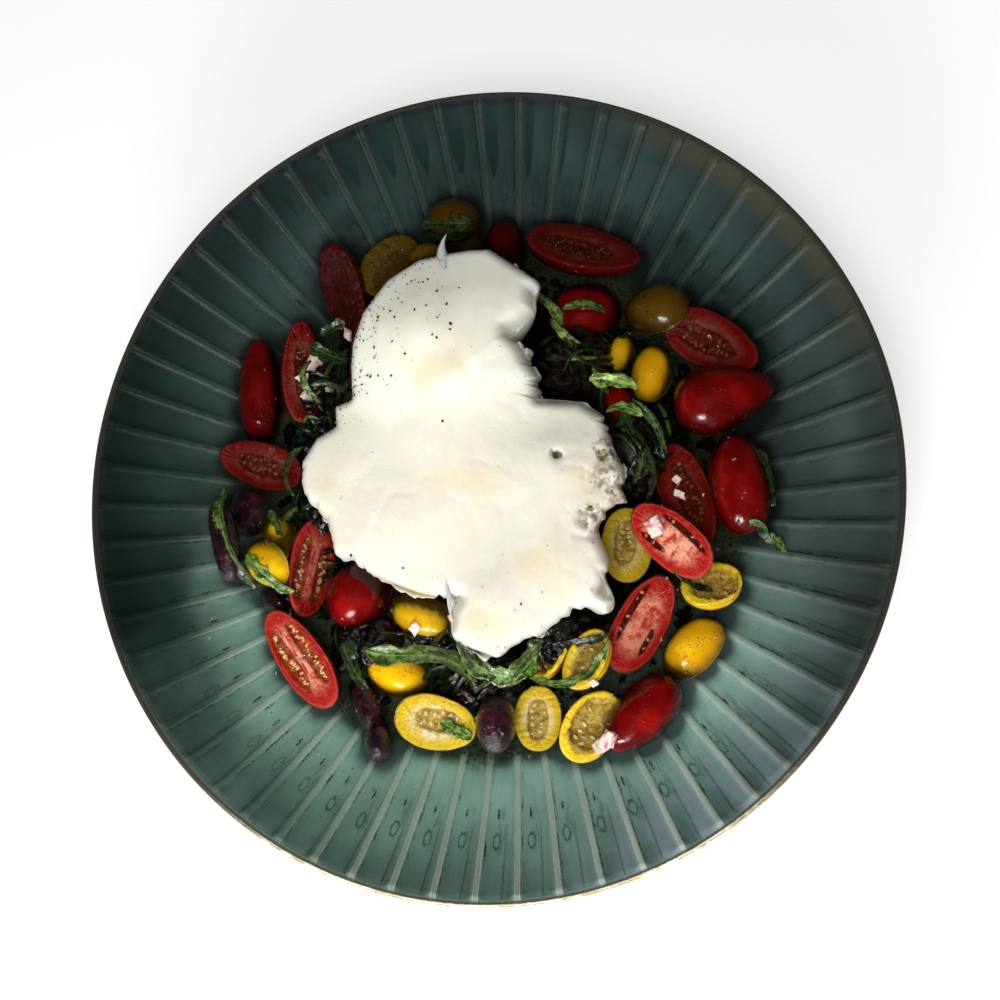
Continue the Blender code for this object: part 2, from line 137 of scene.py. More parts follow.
# Filling between the pieces: (x, y, radius, top) of its hills, in mm
BED_HILLS = (
    ((-62, 38, 17, 30), (26, 44, 15, 31), (48, 14, 14, 31), (26, -48, 12, 26))
    + ((2, -62, 14, 27), (-58, -8, 10, 24), (-40, -52, 10, 22))
)
BED_R = 71 * MM
BED_Z = 15 * MM

# Relief grid of what lies on the plate
CELL = 1 * MM
REACH = 116 * MM


# Noise --------------------------------------------------------------------------------------


def lattice_noise(points, size, seed):
    """Values from -1 to 1 that change smoothly over a length: random numbers at the corners of a
    lattice, blended between corners by the weights 3t^2 - 2t^3 along each axis."""
    scaled = np.asarray(points, float) / size + 512.0
    cell = np.floor(scaled).astype(np.int64)
    part = scaled - cell
    part = part * part * (3 - 2 * part)
    total = np.zeros(scaled.shape[:-1])
    for corner in range(8):
        step = np.array([corner & 1, corner >> 1 & 1, corner >> 2 & 1])
        key = ((cell + step) * np.array([374761393, 668265263, 1274126177])).sum(-1) + seed * 97531
        key = ((key ^ (key >> 13)) * 1103515245 + 12345) & 0x7FFFFFFF
        key = ((key ^ (key >> 15)) * 69069 + 5) & 0xFFFFFF
        total += np.where(step, part, 1 - part).prod(-1) * (key / 0x7FFFFF - 1)
    return total


def rough_noise(points, size, seed, octaves=3, fall=0.5):
    """Lattice noise summed over octaves, each half as wide and fall times as strong."""
    points = np.asarray(points, float)
    total, strength, whole = 0.0, 1.0, 0.0
    for octave in range(octaves):
        total = total + strength * lattice_noise(points, size / 2**octave, seed + 31 * octave)
        whole += strength
        strength *= fall
    return total / whole


def smoothstep(low, high, value):
    """0 below low, 1 above high, 3t^2 - 2t^3 between."""
    t = np.clip((value - low) / (high - low), 0, 1)
    return t * t * (3 - 2 * t)


def flat(x, y):
    """Points at height 0."""
    return np.stack([x, y, 0 * x], -1)


def circle_points(turn):
    """Places for noise that has to close on itself round a turn."""
    return np.stack([np.cos(turn), np.sin(turn), 0 * turn], -1) * 40 * MM


# Meshes -------------------------------------------------------------------------------------


def grid_faces(rows, cols, wrap=True, first=0):
    """Quads between neighbouring rows of a grid of points. With wrap, the last column meets the
    first."""
    row = np.arange(rows - 1)[:, None]
    col = np.arange(cols if wrap else cols - 1)[None, :]
    after = (col + 1) % cols
    corners = [row * cols + col, row * cols + after, (row + 1) * cols + after, (row + 1) * cols + col]
    return first + np.stack([c + 0 * col for c in corners], -1).reshape(-1, 4)


def fan_faces(pole, ring, flip=False):
    """Triangles from one point to a closed ring of points."""
    ring = np.asarray(ring)
    ends = (np.roll(ring, -1), ring) if flip else (ring, np.roll(ring, -1))
    return np.stack([np.full(len(ring), pole), *ends], -1)


def ring_faces(rows, cols):
    """Faces of a closed skin of rings, counted from its top, whose two poles come after them."""
    ring = np.arange(cols)
    top = fan_faces(rows * cols, ring)
    low = fan_faces(rows * cols + 1, (rows - 1) * cols + ring, flip=True)
    return [grid_faces(rows, cols)[:, ::-1], top, low]


def repeated(faces, count, each):
    """Arrays of faces for count copies of a shape of each points."""
    starts = (np.arange(count) * each)[:, None, None]
    return [(part[None] + starts).reshape(-1, part.shape[1]) for part in faces]


def mesh_piece(name, points, faces, material, marks=None, sharp=None):
    """A mesh object from an array of points and a list of arrays of quads or triangles. marks are
    numbers kept at each point."""
    points = np.asarray(points, np.float32).reshape(-1, 3)
    faces = [np.asarray(f, np.int32) for f in faces if len(f)]
    corners = np.concatenate([f.ravel() for f in faces])
    sizes = np.concatenate([np.full(len(f), f.shape[1], np.int32) for f in faces])
    mesh = bpy.data.meshes.new(name)
    mesh.vertices.add(len(points))
    mesh.vertices.foreach_set("co", points.ravel())
    mesh.loops.add(len(corners))
    mesh.loops.foreach_set("vertex_index", corners)
    mesh.polygons.add(len(sizes))
    mesh.polygons.foreach_set("loop_start", np.concatenate([[0], np.cumsum(sizes)[:-1]]).astype(np.int32))
    mesh.materials.append(material)
    for mark, values in (marks or {}).items():
        layer = mesh.attributes.new(mark, "FLOAT", "POINT")
        layer.data.foreach_set("value", np.broadcast_to(values, len(points)).astype(np.float32))
    mesh.update(calc_edges=True)
    mesh.validate()
    mesh.shade_smooth()
    if sharp is not None:
        mesh.set_sharp_from_angle(angle=math.radians(sharp))
    obj = bpy.data.objects.new(name, mesh)
    bpy.context.scene.collection.objects.link(obj)
    return obj


def dress(piece, slot, *nodes):
    """The piece rides with the plate and stands for some solids, which it hides. slot is not used."""
    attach(piece, "root")
    if nodes:
        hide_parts(*nodes)
    return piece


# Materials ----------------------------------------------------------------------------------


class Field:
    """A number in a material's nodes, so that sums, products and steps of it can be written out.
    The sign | takes the greater of two."""

    def __init__(self, finish, socket):
        self.finish, self.socket = finish, socket

    def __add__(self, other):
        return self.finish.maths("ADD", self, other)

    def __sub__(self, other):
        return self.finish.maths("SUBTRACT", self, other)

    def __rsub__(self, other):
        return self.finish.maths("SUBTRACT", other, self)

    def __mul__(self, other):
        return self.finish.maths("MULTIPLY", self, other)

    def __truediv__(self, other):
        return self.finish.maths("DIVIDE", self, other)

    def __rtruediv__(self, other):
        return self.finish.maths("DIVIDE", other, self)

    def __or__(self, other):
        return self.finish.maths("MAXIMUM", self, other)

    def __abs__(self):
        return self.finish.maths("ABSOLUTE", self)

    __radd__, __rmul__ = __add__, __mul__

    def step(self, low, high, start=0.0, end=1.0):
        """Smooth step from start to end between low and high."""
        ends = {"From Min": low, "From Max": high, "To Min": start, "To Max": end}
        smooth = {"interpolation_type": "SMOOTHSTEP"}
        return self.finish.fields("ShaderNodeMapRange", smooth, Value=self, **ends)[0]


class Finish:
    """A material while it is made: its nodes, its shader and short calls for the common nodes."""

    def __init__(self, name, roughness, **sockets):
        self.material = bpy.data.materials.new(name)
        self.material.use_nodes = True
        self.tree = self.material.node_tree
        self.shader = self.tree.nodes["Principled BSDF"]
        for key, value in {"Roughness": roughness, **sockets}.items():
            self.shader.inputs[key.replace("_", " ")].default_value = value

    def put(self, socket, value):
        value = getattr(value, "socket", value)
        if isinstance(value, bpy.types.NodeSocket):
            self.tree.links.new(value, socket)
        elif isinstance(value, tuple) and len(value) == 3 and socket.type == "RGBA":
            socket.default_value = (*value, 1)
        else:
            socket.default_value = value

    def node(self, kind, settings=None, **inputs):
        made = self.tree.nodes.new(kind)
        for key, value in (settings or {}).items():
            setattr(made, key, value)
        for key, value in inputs.items():
            self.put(made.inputs[key.replace("_", " ")], value)
        return made

    def fields(self, kind, settings=None, **inputs):
        """What comes out of a new node."""
        return [Field(self, socket) for socket in self.node(kind, settings, **inputs).outputs]

    def maths(self, operation, *values):
        made = self.node("ShaderNodeMath", {"operation": operation})
        for socket, value in zip(made.inputs, values):
            self.put(socket, value)
        return Field(self, made.outputs[0])

    def length(self, a, b):
        return self.maths("SQRT", a * a + b * b)

    def mix(self, share, first, second, blend="MIX"):
        made = self.node("ShaderNodeMix", {"data_type": "RGBA", "blend_type": blend})
        for place, value in ((0, share), (6, first), (7, second)):
            self.put(made.inputs[place], value)
        return made.outputs[2]

    def place(self):
        """Object coordinates in millimetres."""
        made = self.node("ShaderNodeMapping", Vector=self.node("ShaderNodeTexCoord").outputs["Object"])
        made.inputs["Scale"].default_value = (1 / MM, 1 / MM, 1 / MM)
        return made.outputs[0]

    def noise(self, size, detail=3.0, rough=0.55, warp=0.0):
        """Noise from 0 to 1 whose largest marks are about size millimetres wide."""
        place = self.place()
        inputs = {"Scale": 1 / size, "Detail": detail, "Roughness": rough, "Distortion": warp}
        return self.fields("ShaderNodeTexNoise", Vector=place, **inputs)[0]

    def noise_at(self, detail, x, y, z):
        """Noise from 0 to 1 over three fields in the place of x, y and z."""
        place = self.node("ShaderNodeCombineXYZ", X=x, Y=y, Z=z).outputs[0]
        return self.fields("ShaderNodeTexNoise", Vector=place, Scale=1.0, Detail=detail)[0]

    def specks(self, size, radius):
        """1 inside scattered round specks of a share of the cell size, 0 outside."""
        near = self.fields("ShaderNodeTexVoronoi", Vector=self.place(), Scale=1 / size)[0]
        return near.step(radius, radius * 0.55)

    def mark(self, name):
        made = self.node("ShaderNodeAttribute", {"attribute_name": name})
        return Field(self, made.outputs["Fac"])

    def crevice_shaded(self, value, dark, most=0.95, full=0.45):
        """The colour, going dark with painted shade where a piece lies deep among its neighbours."""
        return self.mix(self.mark("sunk").step(0.04, full, 0.0, most), value, dark)

    def group(self, tree, **inputs):
        return self.fields("ShaderNodeGroup", {"node_tree": tree}, **inputs)

    def colour(self, value):
        self.put(self.shader.inputs["Base Color"], value)

    def roughness(self, value):
        self.put(self.shader.inputs["Roughness"], value)

    def bump(self, height, distance, strength=1.0):
        made = self.node("ShaderNodeBump", Height=height, Distance=distance, Strength=strength)
        self.put(self.shader.inputs["Normal"], made.outputs[0])
        self.put(self.shader.inputs["Coat Normal"], made.outputs[0])


def group_tree(name, inputs, outputs):
    """An empty shader group, a Finish-like maker for its nodes, and what it is given."""
    tree = bpy.data.node_groups.new(name, "ShaderNodeTree")
    for label, default in inputs.items():
        socket = tree.interface.new_socket(label, in_out="INPUT", socket_type="NodeSocketFloat")
        socket.default_value = default
    for label in outputs:
        tree.interface.new_socket(label, in_out="OUTPUT", socket_type="NodeSocketFloat")
    maker = Finish.__new__(Finish)
    maker.tree = tree
    return maker, maker.fields("NodeGroupInput"), tree.nodes.new("NodeGroupOutput")


def flute_group():
    """Where a point lies in the fluting: Rib, in mm from the nearest rib's middle; Across, in mm
    from its panel's middle; Radius in mm; Turn in degrees; Aside, in mm from the nearest column of
    glaze marks; and a random Number for each column."""
    labels = ("Rib", "Across", "Radius", "Turn", "Aside", "Number")
    maker, _, out = group_tree("flute_place", {}, labels)
    x, y, _ = maker.fields("ShaderNodeSeparateXYZ", Vector=maker.place())
    radius = maker.length(x, y)
    angle = maker.maths("ARCTAN2", y, x)
    ahead = maker.maths("COSINE", angle) * -WANDER + WANDER + maker.maths("SINE", angle) * LEAN
    even = angle - ahead
    wide = radius * PITCH
    across = (maker.maths("FRACT", (even - RIB_PHASE) / PITCH + FLUTES) - 0.5) * wide
    column = (even - MARK_PHASE) / MARK_PITCH + (MARKS + 0.5)
    aside = (maker.maths("FRACT", column) - 0.5) * (radius * MARK_PITCH)
    nearest = maker.maths("MODULO", maker.maths("FLOOR", column), float(MARKS))
    number = maker.fields("ShaderNodeTexWhiteNoise", {"noise_dimensions": "1D"}, W=nearest)[0]
    turn = angle * (180 / math.pi)
    for place, value in enumerate((wide * 0.5 - abs(across), across, radius, turn, aside, number)):
        maker.put(out.inputs[place], value)
    return maker.tree


def wet_group():
    """Thin oil over a surface: Gloss, from 0 dry to 1 wet, in soft patches, and a Grain height
    from fine noise, for the bump under it."""
    inputs = {"Patch": 6.0, "Grain": 0.6}
    maker, (patch, grain, *_), out = group_tree("oily_skin", inputs, ("Gloss", "Height"))
    maker.put(out.inputs["Gloss"], maker.noise(patch, 2.0, 0.5).step(0.35, 0.62))
    maker.put(out.inputs["Height"], maker.noise(grain, 3.0, 0.5))
    return maker.tree


FLUTE_PLACE = flute_group()
OILY_SKIN = wet_group()


# Plate --------------------------------------------------------------------------------------


def wall_z(radius):
    """Height of the wall's own line: the well, then a rise to the power WALL_POWER."""
    share = np.clip((radius - FLOOR_R) / (BAND_R - FLOOR_R), 0, 1)
    return FLOOR_Z + WALL_RISE * share**WALL_POWER


def flute_rise(radius, share):
    """Height over the wall's line, at a share of a flute from the rib's middle: a rib's rounded
    crown, then a panel that falls off within 1.8 mm of its edge and dips on in a parabola. The
    panel's outer end is a rounded rectangle's, and the ribs' inner ends fade out."""
    half = PITCH * radius / 2
    side = np.abs(share) * 2 * half - RIB_HALF
    end = PANEL_END_R - radius
    corner = np.minimum(PANEL_CORNER, half * 0.8)
    inside = corner - np.hypot(np.maximum(corner - side, 0), np.maximum(corner - end, 0))
    fall = smoothstep(-0.5 * MM, 1.3 * MM, inside)
    dip = 1 - (1 - np.clip(side / (half - RIB_HALF), 0, 1)) ** 2
    dip = dip * smoothstep(0, 9 * MM, end) * smoothstep(RIB_START_R, RIB_START_R + 6 * MM, radius)
    started = smoothstep(RIB_START_R - 0.6 * MM, RIB_START_R + 2.2 * MM, radius)
    return started * RIB_RISE * (1 - fall) - PANEL_DIP * dip


def make_plate():
    """The whole plate in one skin: rings from the well's middle over the rim and down to the foot.
    The slow unevenness of thrown stoneware lies over all that shows."""
    near = np.array(FLUTE_SHARES)
    shares = np.concatenate([near, [0.5], -near[:0:-1]])
    even = RIB_PHASE + PITCH * (np.arange(FLUTES)[:, None] + shares % 1.0).ravel()
    turns = even
    for _ in range(6):
        turns = even + WANDER * (1 - np.cos(turns)) + LEAN * np.sin(turns)
    inner = np.concatenate([WELL_RINGS, np.linspace(85, 123, 22), np.linspace(124.3, 133.1, 18)]) * MM
    radius = inner[:, None] + 0 * turns
    z = wall_z(radius) + flute_rise(radius, np.tile(shares, FLUTES) + 0 * radius) * (radius > FLOOR_R)
    rim = np.array(RIM)[:, :, None] * MM + 0 * turns
    radius, z = np.concatenate([radius, rim[:, 0]]), np.concatenate([z, rim[:, 1]])
    rows, cols = radius.shape
    points = np.stack([radius * np.cos(turns), radius * np.sin(turns), z], -1)
    wobble = lattice_noise(points, 14 * MM, 5) * 0.12 * MM
    on_show = (np.arange(rows) > 4) & (np.arange(rows) < len(inner) + 14)
    points[..., 2] += wobble * on_show[:, None]
    points = np.concatenate([points.reshape(-1, 3), [(0, 0, FLOOR_Z), (0, 0, FOOT_RECESS)]])
    dress(mesh_piece("glazed_plate", points, ring_faces(rows, cols), glaze()), "plate_glaze", "plate")


def glaze():
    """Reactive glaze over fluting, placed by radius in mm and turn in degrees. The panels are teal
    or blue-grey and cloudy. Painted light lies over the south of the bowl and painted shade over the
    rest, as lit and shaded copies of the glaze's colours. Columns of marks lie across the fluting:
    from the edge inward a run of deep green, a loop with streaks beside it, and a dot. The glaze
    breaks pale on the ribs, in a line at each side of the crown; painted highlights, lit sides and
    shadows lie on the ribs as well, and painted shade on the glaze next to the food."""
    made = Finish("plate_glaze", 0.38, IOR=1.3, Specular_IOR_Level=0.2)
    rib, across, radius, turn, aside, number = made.group(FLUTE_PLACE)
    x, y, z = made.fields("ShaderNodeSeparateXYZ", Vector=made.place())
    cloud, fine, grit = made.noise(22, 2, 0.6), made.noise(1.6, 2, 0.65), made.noise(0.7, 2, 0.75)
    streak = made.noise_at(2.0, aside * 1.3, radius * 0.17, number * 50.0)
    ragged = (fine + streak) * 1.1 - 1.1

    # Where painted light lies on the glaze: the south of the bowl, with a brightness that changes from the
    # edge inward, and painted shade elsewhere. Turns run from -270 to 90 here, so that they meet in the
    # shaded part
    round_south = turn - made.maths("GREATER_THAN", turn, 90.0) * 360.0
    drift = cloud * 16.0 + round_south - 8.0
    west = (radius.step(118, 96) * 24.0 + drift).step(-163, -115)
    east = (radius.step(128, 104) * -20.0 + drift).step(-18, -66)
    light = west * east
    inward_west = radius.step(131, 98, 0.33, 1.15)
    inward_east = radius.step(131, 118, 0.58, 0.88) * radius.step(116, 100, 1.0, 0.75)
    inward = inward_west + x.step(-70, 70) * (inward_east - inward_west)
    inward = inward + light * (radius.step(133, 96, 0.40, 1.2) - inward)

    # Lit and shaded copies of the panel colour: painted light and painted shade. Within each, the glaze's
    # own tone runs from teal in the west to blue-grey in the east and north
    shaded_panel = made.mix(x.step(-60, 60), (0.021, 0.039, 0.029), (0.043, 0.057, 0.055))
    shaded_panel = made.mix(y.step(10, 90) * 0.9, shaded_panel, (0.025, 0.045, 0.045))
    lit_panel = made.mix(x.step(-20, 80), (0.172, 0.300, 0.236), (0.215, 0.355, 0.318))
    # Painted shade darkens each panel towards its ribs, round its concave middle; the cloud and streak
    # terms are the glaze's own
    tone = inward * cloud.step(0.3, 0.7, 0.88, 1.12) * abs(across).step(5.2, 1.2, 0.86, 1.06)
    tone = tone * streak.step(0.3, 0.75, 1.03, 0.95)
    panel = made.mix(1.0, made.mix(light, shaded_panel, lit_panel), tone, "MULTIPLY")
    slate = radius.step(108, 124) * turn.step(-85, -50) * (across * 0.06 + cloud).step(0.3, 0.6)
    panel = made.mix(slate * light * 0.7, panel, (0.24, 0.32, 0.36))
    olive = radius.step(122, 131) * abs(turn - 45.0).step(36, 10)
    panel = made.mix(olive * 0.8, panel, (0.048, 0.046, 0.028))

    # Runs from the edge: broad and ragged by the north-west, elsewhere a thin line
    run_end = turn.step(80, 125, 109, 118.5)
    half_wide = abs(turn - 107.0).step(34, 8) * 2.1 + 0.42
    half_wide = half_wide * ((radius - run_end).step(-1, 8) * 0.75 + 0.25)
    off = abs(aside - (number * 0.8 + 2.7))
    run = (ragged * 0.7 + off - half_wide).step(0.22, -0.3)
    run = run * (ragged * 4.0 + radius - run_end).step(-0.8, 0.8) * radius.step(133, 131.6)
    run = run * (abs(turn - 104.0).step(58, 44) * 0.9 | streak * 0.8)
    panel = made.mix(run, panel, (0.0065, 0.017, 0.017))

    # A loop, streaks and a dot in each column, further out to the south
    swing = made.maths("COSINE", (turn - 262.0) * (math.pi / 180))
    from_mark = radius - (swing * 5.0 + 109.8 + number * 1.6)
    far = made.length(from_mark * y.step(-60, 30, 0.52, 0.31), aside)
    clear = abs(turn + 84.0).step(44, 24, 0.55, 1.0)
    loop = abs(ragged * 0.45 + far - 1.15).step(0.42, 0.14) * clear * 0.72
    dot = (ragged * 0.7 + made.length((from_mark + 8.6) * 0.36, aside * 1.3)).step(0.72, 0.35)
    smudge = (ragged * 0.9 + far).step(2.6, 0.6) * grit.step(0.56, 0.66) * (1.35 - clear)
    thick = abs(from_mark + 3.0).step(9, 5) * abs(aside - 1.5).step(1.5, 0.6)
    thick = thick * streak.step(0.44, 0.52) * abs(turn - 40.0).step(30, 16, 0.35, 1.0)
    marks = (loop | dot | smudge | thick) * grit.step(0.34, 0.48) * 0.9
    marks = marks | grit.step(0.6, 0.68) * made.noise(6, 1).step(0.5, 0.65) * 0.4
    panel = made.mix(marks, panel, (0.005, 0.016, 0.012))

    # Ribs: a pale line at each side of the crown, where the glaze breaks. The crown carries a painted
    # highlight where the painted light lies, one side of each rib is a painted lit side, and the pale
    # colour has lit and shaded copies
    edge = ragged * 0.22 + rib
    lines = abs(edge - 0.8).step(0.36, 0.05) * fine.step(0.3, 0.6, 0.35, 0.75)
    lit_end = x.step(10, 80) * radius.step(104, 118)
    crown = edge.step(1.05, 0.5) * (light * (lit_end * 0.5 + 0.28) + 0.1)
    sided = across.step(-0.5, 0.5)
    lit_side_paint = edge.step(2.8, 0.5) * (sided * 0.24 + 0.07)
    fade = abs(round_south + 152.0).step(50, 28) * radius.step(103, 120)
    crest = (lines | crown | lit_side_paint) * radius.step(79.5, 84) * (1.0 - fade * 0.92)
    crest = crest | abs(radius - 132.7).step(0.5, 0.1) * 0.14
    colour = made.mix(crest, panel, made.mix(light, (0.054, 0.062, 0.053), (0.40, 0.45, 0.37)))
    # A dark streak beside each rib, mostly on the side away from the lit one: painted shadow
    beside = abs(edge - 1.5).step(0.6, 0.1) * streak.step(0.45, 0.6, 0.05, 0.9) * (1.0 - sided * 0.75)
    beside = beside * grit.step(0.38, 0.52) * abs(from_mark).step(20, 6, 0.3, 1.0)
    colour = made.mix(beside, colour, (0.006, 0.015, 0.011))

    # A dark line outside the arches, then the edge: unglazed clay to the south, lightened there to near
    # white by a painted highlight; the band's and the clay's colours have lit and shaded copies
    edge_r = ragged * 0.3 + radius
    band_colour = made.mix(light, (0.022, 0.022, 0.017), (0.085, 0.08, 0.05))
    colour = made.mix(edge_r.step(132.3, 133.2) * 0.85, colour, band_colour)
    unglazed_highlit = turn.step(-132, -106) * turn.step(-34, -62)
    clay = made.mix(made.noise(5, 3).step(0.35, 0.6), (0.58, 0.47, 0.24), (0.86, 0.82, 0.64))
    clay = made.mix(unglazed_highlit, made.mix(light, (0.030, 0.028, 0.021), (0.075, 0.065, 0.04)), clay)
    colour = made.mix(edge_r.step(133.4, 133.8), colour, clay)
    line = abs(edge_r - 134.3).step(0.22, 0.05) * made.noise(4, 3).step(0.4, 0.5)
    colour = made.mix(line * 0.8, colour, (0.03, 0.028, 0.018))

    # Raw foot
    foot = z.step(1.2, 0.2) * radius.step(64, 62)
    colour = made.mix(foot, colour, (0.45, 0.36, 0.25))
    # Painted shade on the glaze next to the food, where the plate lies deep among the pieces
    painted_food_shade = made.mark("sunk").step(0.16, 0.62, 0.0, 0.85)
    made.colour(made.mix(painted_food_shade, colour, (0.004, 0.006, 0.004)))
    made.roughness(fine.step(0.3, 0.8, 0.32, 0.5) + foot * 0.4)
    made.bump(streak * 0.12 + fine * 0.1 - marks * 0.15, 0.35 * MM, 0.5)
    return made.material


# Cut pieces ---------------------------------------------------------------------------------


def unit(vectors):
    """Vectors of length 1 the same way."""
    return vectors / np.maximum(np.linalg.norm(vectors, axis=-1, keepdims=True), 1e-9)


def node_triangles(name):
    """Corner points of a solid's triangles, as an array of n by 3 by 3."""
    mesh = frame["nodes"][name].data
    mesh.calc_loop_triangles()
    points = np.empty(len(mesh.vertices) * 3)
    mesh.vertices.foreach_get("co", points)
    faces = np.empty(len(mesh.loop_triangles) * 3, np.int32)
    mesh.loop_triangles.foreach_get("vertices", faces)
    return points.reshape(-1, 3)[faces.reshape(-1, 3)]


def cut_place(name):
    """Where a halved piece lies, measured on its solid. The flat cut is the largest area with one
    normal, its tips are the cut's two furthest points, and half-width over sin(turn)^0.9 gives the
    width and the taper by a straight-line fit."""
    tris = node_triangles(name)
    cross = np.cross(tris[:, 1] - tris[:, 0], tris[:, 2] - tris[:, 0])
    area = np.linalg.norm(cross, axis=1)
    normals = cross / np.maximum(area, 1e-15)[:, None]
    up = normals[np.argmax((normals @ normals.T > 0.9995) @ area)]
    points = np.unique(np.round(tris.reshape(-1, 3), 7), axis=0)
    height = points @ up
    rim = points[height > height.max() - 0.05 * MM]
    apart = np.linalg.norm(rim[:, None] - rim[None], axis=-1)
    a, b = np.unravel_index(np.argmax(apart), apart.shape)
    along = (rim[b] - rim[a]) / apart[a, b]
    middle = (rim[a] + rim[b]) / 2
    across = np.cross(up, along)
    share = (rim - middle) @ along / (apart[a, b] / 2)
    wide = np.abs((rim - middle) @ across)
    inner = np.abs(share) < 0.97
    swell = np.sqrt(1 - share[inner] ** 2) ** 0.9
    slope, level = np.polyfit(share[inner], wide[inner] / swell, 1)
    size = {"length": apart[a, b], "width": 2 * level, "depth": height.max() - height.min()}
    return {"axes": np.stack([along, across, up]), "middle": middle, "taper": slope / level, **size}


TURNS = 60  # round a tomato from tip to tip
SIDES = 26  # over its skin, from one side of the cut to the other
CUT_RINGS = 22


def skin_points(place, seed, uneven):
    """The skin as half-ellipses hung under the cut's outline, with slow dents on it. The outline's
    half-width at a turn from one tip, 0, to the other, pi, is sin(turn)^0.9 (1 - taper cos turn)."""
    turn = np.linspace(0, math.pi, TURNS + 1)[1:-1, None]
    side = np.linspace(0, math.pi, SIDES + 1)
    along = -np.cos(turn)
    swell = np.abs(np.sin(turn)) ** 0.9 * (1 + place["taper"] * along)
    x = place["length"] / 2 * along + 0 * side
    y = place["width"] / 2 * swell * np.cos(side)
    points = np.stack([x, y, -place["depth"] * swell * np.sin(side)], -1)
    push = rough_noise(points + seed * 0.1, 7 * MM, seed, 2) * uneven
    return points + unit(points) * push[..., None]


def chamber(a, b, rows, seed, jitter):
    """How far inside a seed chamber a place on the cut is, 1 in its middle and 0 out of it. The
    cut's half-length and half-width are 1. rows gives each chamber as (along, across, half-length,
    half-width, lean). A chamber beside the core bends round it, by 0.5 a^2 of its distance."""
    inside = np.zeros_like(a)
    wave = rough_noise(flat(a * 4, b * 4), 1.0, seed, 3) * jitter
    for along, across, long, wide, lean in rows:
        u = (a - along) / long
        v = (b - across * (1 - 0.5 * a**2) - lean * (a - along)) / wide
        far = np.sqrt(np.abs(u) ** 2.4 + np.abs(v) ** 2.2) + wave
        inside = np.maximum(inside, smoothstep(1.15, 0.7, far))
    return inside


def chamber_rows(kind, random):
    """A cut's chambers. Seeded: two long ones beside a narrow core. Slits: one or two thin dark
    crescents beside a broad core. Pocket: one shallow oval. Hollow: a scooped cup."""
    if kind == "pocket":
        along, across, lean = (random.uniform(-most, most) for most in (0.12, 0.12, 0.1))
        return [(along, across, 0.64, 0.44, lean)]
    if kind == "hollow":
        return [(random.uniform(-0.04, 0.1), random.uniform(-0.06, 0.06), 0.76, 0.7, 0.0)]
    if kind == "slits":
        return [(0.12, 0.6, 0.6, 0.11, 0.0), (-0.25, -0.52, 0.3, 0.10, 0.1)]
    rows = []
    for sign in (-1, 1):
        wide = 0.27 * random.uniform(0.85, 1.15)
        along, long, lean = (random.uniform(*ends) for ends in ((-0.1, 0.06), (0.58, 0.72), (-0.1, 0.1)))
        rows.append((along, sign * 0.46, long, wide, lean))
    return rows


def ball(rows, cols):
    """Unit directions on a ball, row by row, and then its two poles."""
    lat = np.linspace(0, math.pi, rows + 2)[1:-1][:, None]
    lon = np.linspace(0, ROUND, cols, endpoint=False)[None]
    grid = np.stack([np.sin(lat) * np.cos(lon), np.sin(lat) * np.sin(lon), np.cos(lat) + 0 * lon], -1)
    return np.concatenate([grid.reshape(-1, 3), [(0, 0, 1), (0, 0, -1)]])


def many_lumps(bodies, axes, middles, rows, cols):
    """Closed lumps in one array: bodies (n, points, 3) on a ball's grid, turned by axes (n, 3, 3)
    and moved to middles (n, 3). Returns points and faces."""
    points = np.einsum("nij,njk->nik", bodies, axes) + middles[:, None]
    return points.reshape(-1, 3), repeated(ring_faces(rows, cols), len(middles), bodies.shape[1])


def many_balls(middles, axes, sizes, rows, cols, seed=1, dents=0.0):
    """Lumps that are balls scaled by sizes (n, 3), their radius varied by noise."""
    bodies = ball(rows, cols)[None] * np.ones((len(middles), 1, 1))
    if dents:
        apart = np.arange(len(middles))[:, None, None] * 3.7
        bodies = bodies * (1 + dents * lattice_noise(bodies + apart, 0.8, seed)[..., None])
    return many_lumps(bodies * sizes[:, None], axes, middles, rows, cols)


# Each kind of cut: depth of its chambers in mm, seeds for each mm of length, how bright the gel is
# and how plainly the seeds show
CUT_KINDS = {
    "seeded": (1.5, 0.6, 0.75, 1.0),
    "slits": (2.6, 0.12, 0.0, 0.6),
    "pocket": (1.2, 0.42, 0.6, 0.35),
    "hollow": (4.0, 0.2, 0.65, 0.7),
    "plain": (0.9, 0.0, 0.3, 0.0),
}
# How bright each piece is that lies on its cut: below 1, darkened by painted shade, most in the north and
# west of the plate
PLAIN = (
    {"red_half_west_skin": 0.27, "red_half_east_pear": 0.58, "red_half_east_skin": 0.75}
    | {"red_half_north_small": 0.03, "red_half_northeast": 0.8, "red_half_by_cheese": 0.35}
    | {"red_half_under_basil": 0.65, "yellow_half_northeast_shade": 0.032, "yellow_half_north": 0.02}
    | {"yellow_half_north_small": 0.11, "yellow_half_north_hidden": 0.07, "yellow_half_northeast": 0.7}
    | {"yellow_half_northeast_small": 0.55, "yellow_half_east_skin": 0.8, "yellow_half_under_cheese": 0.7}
)
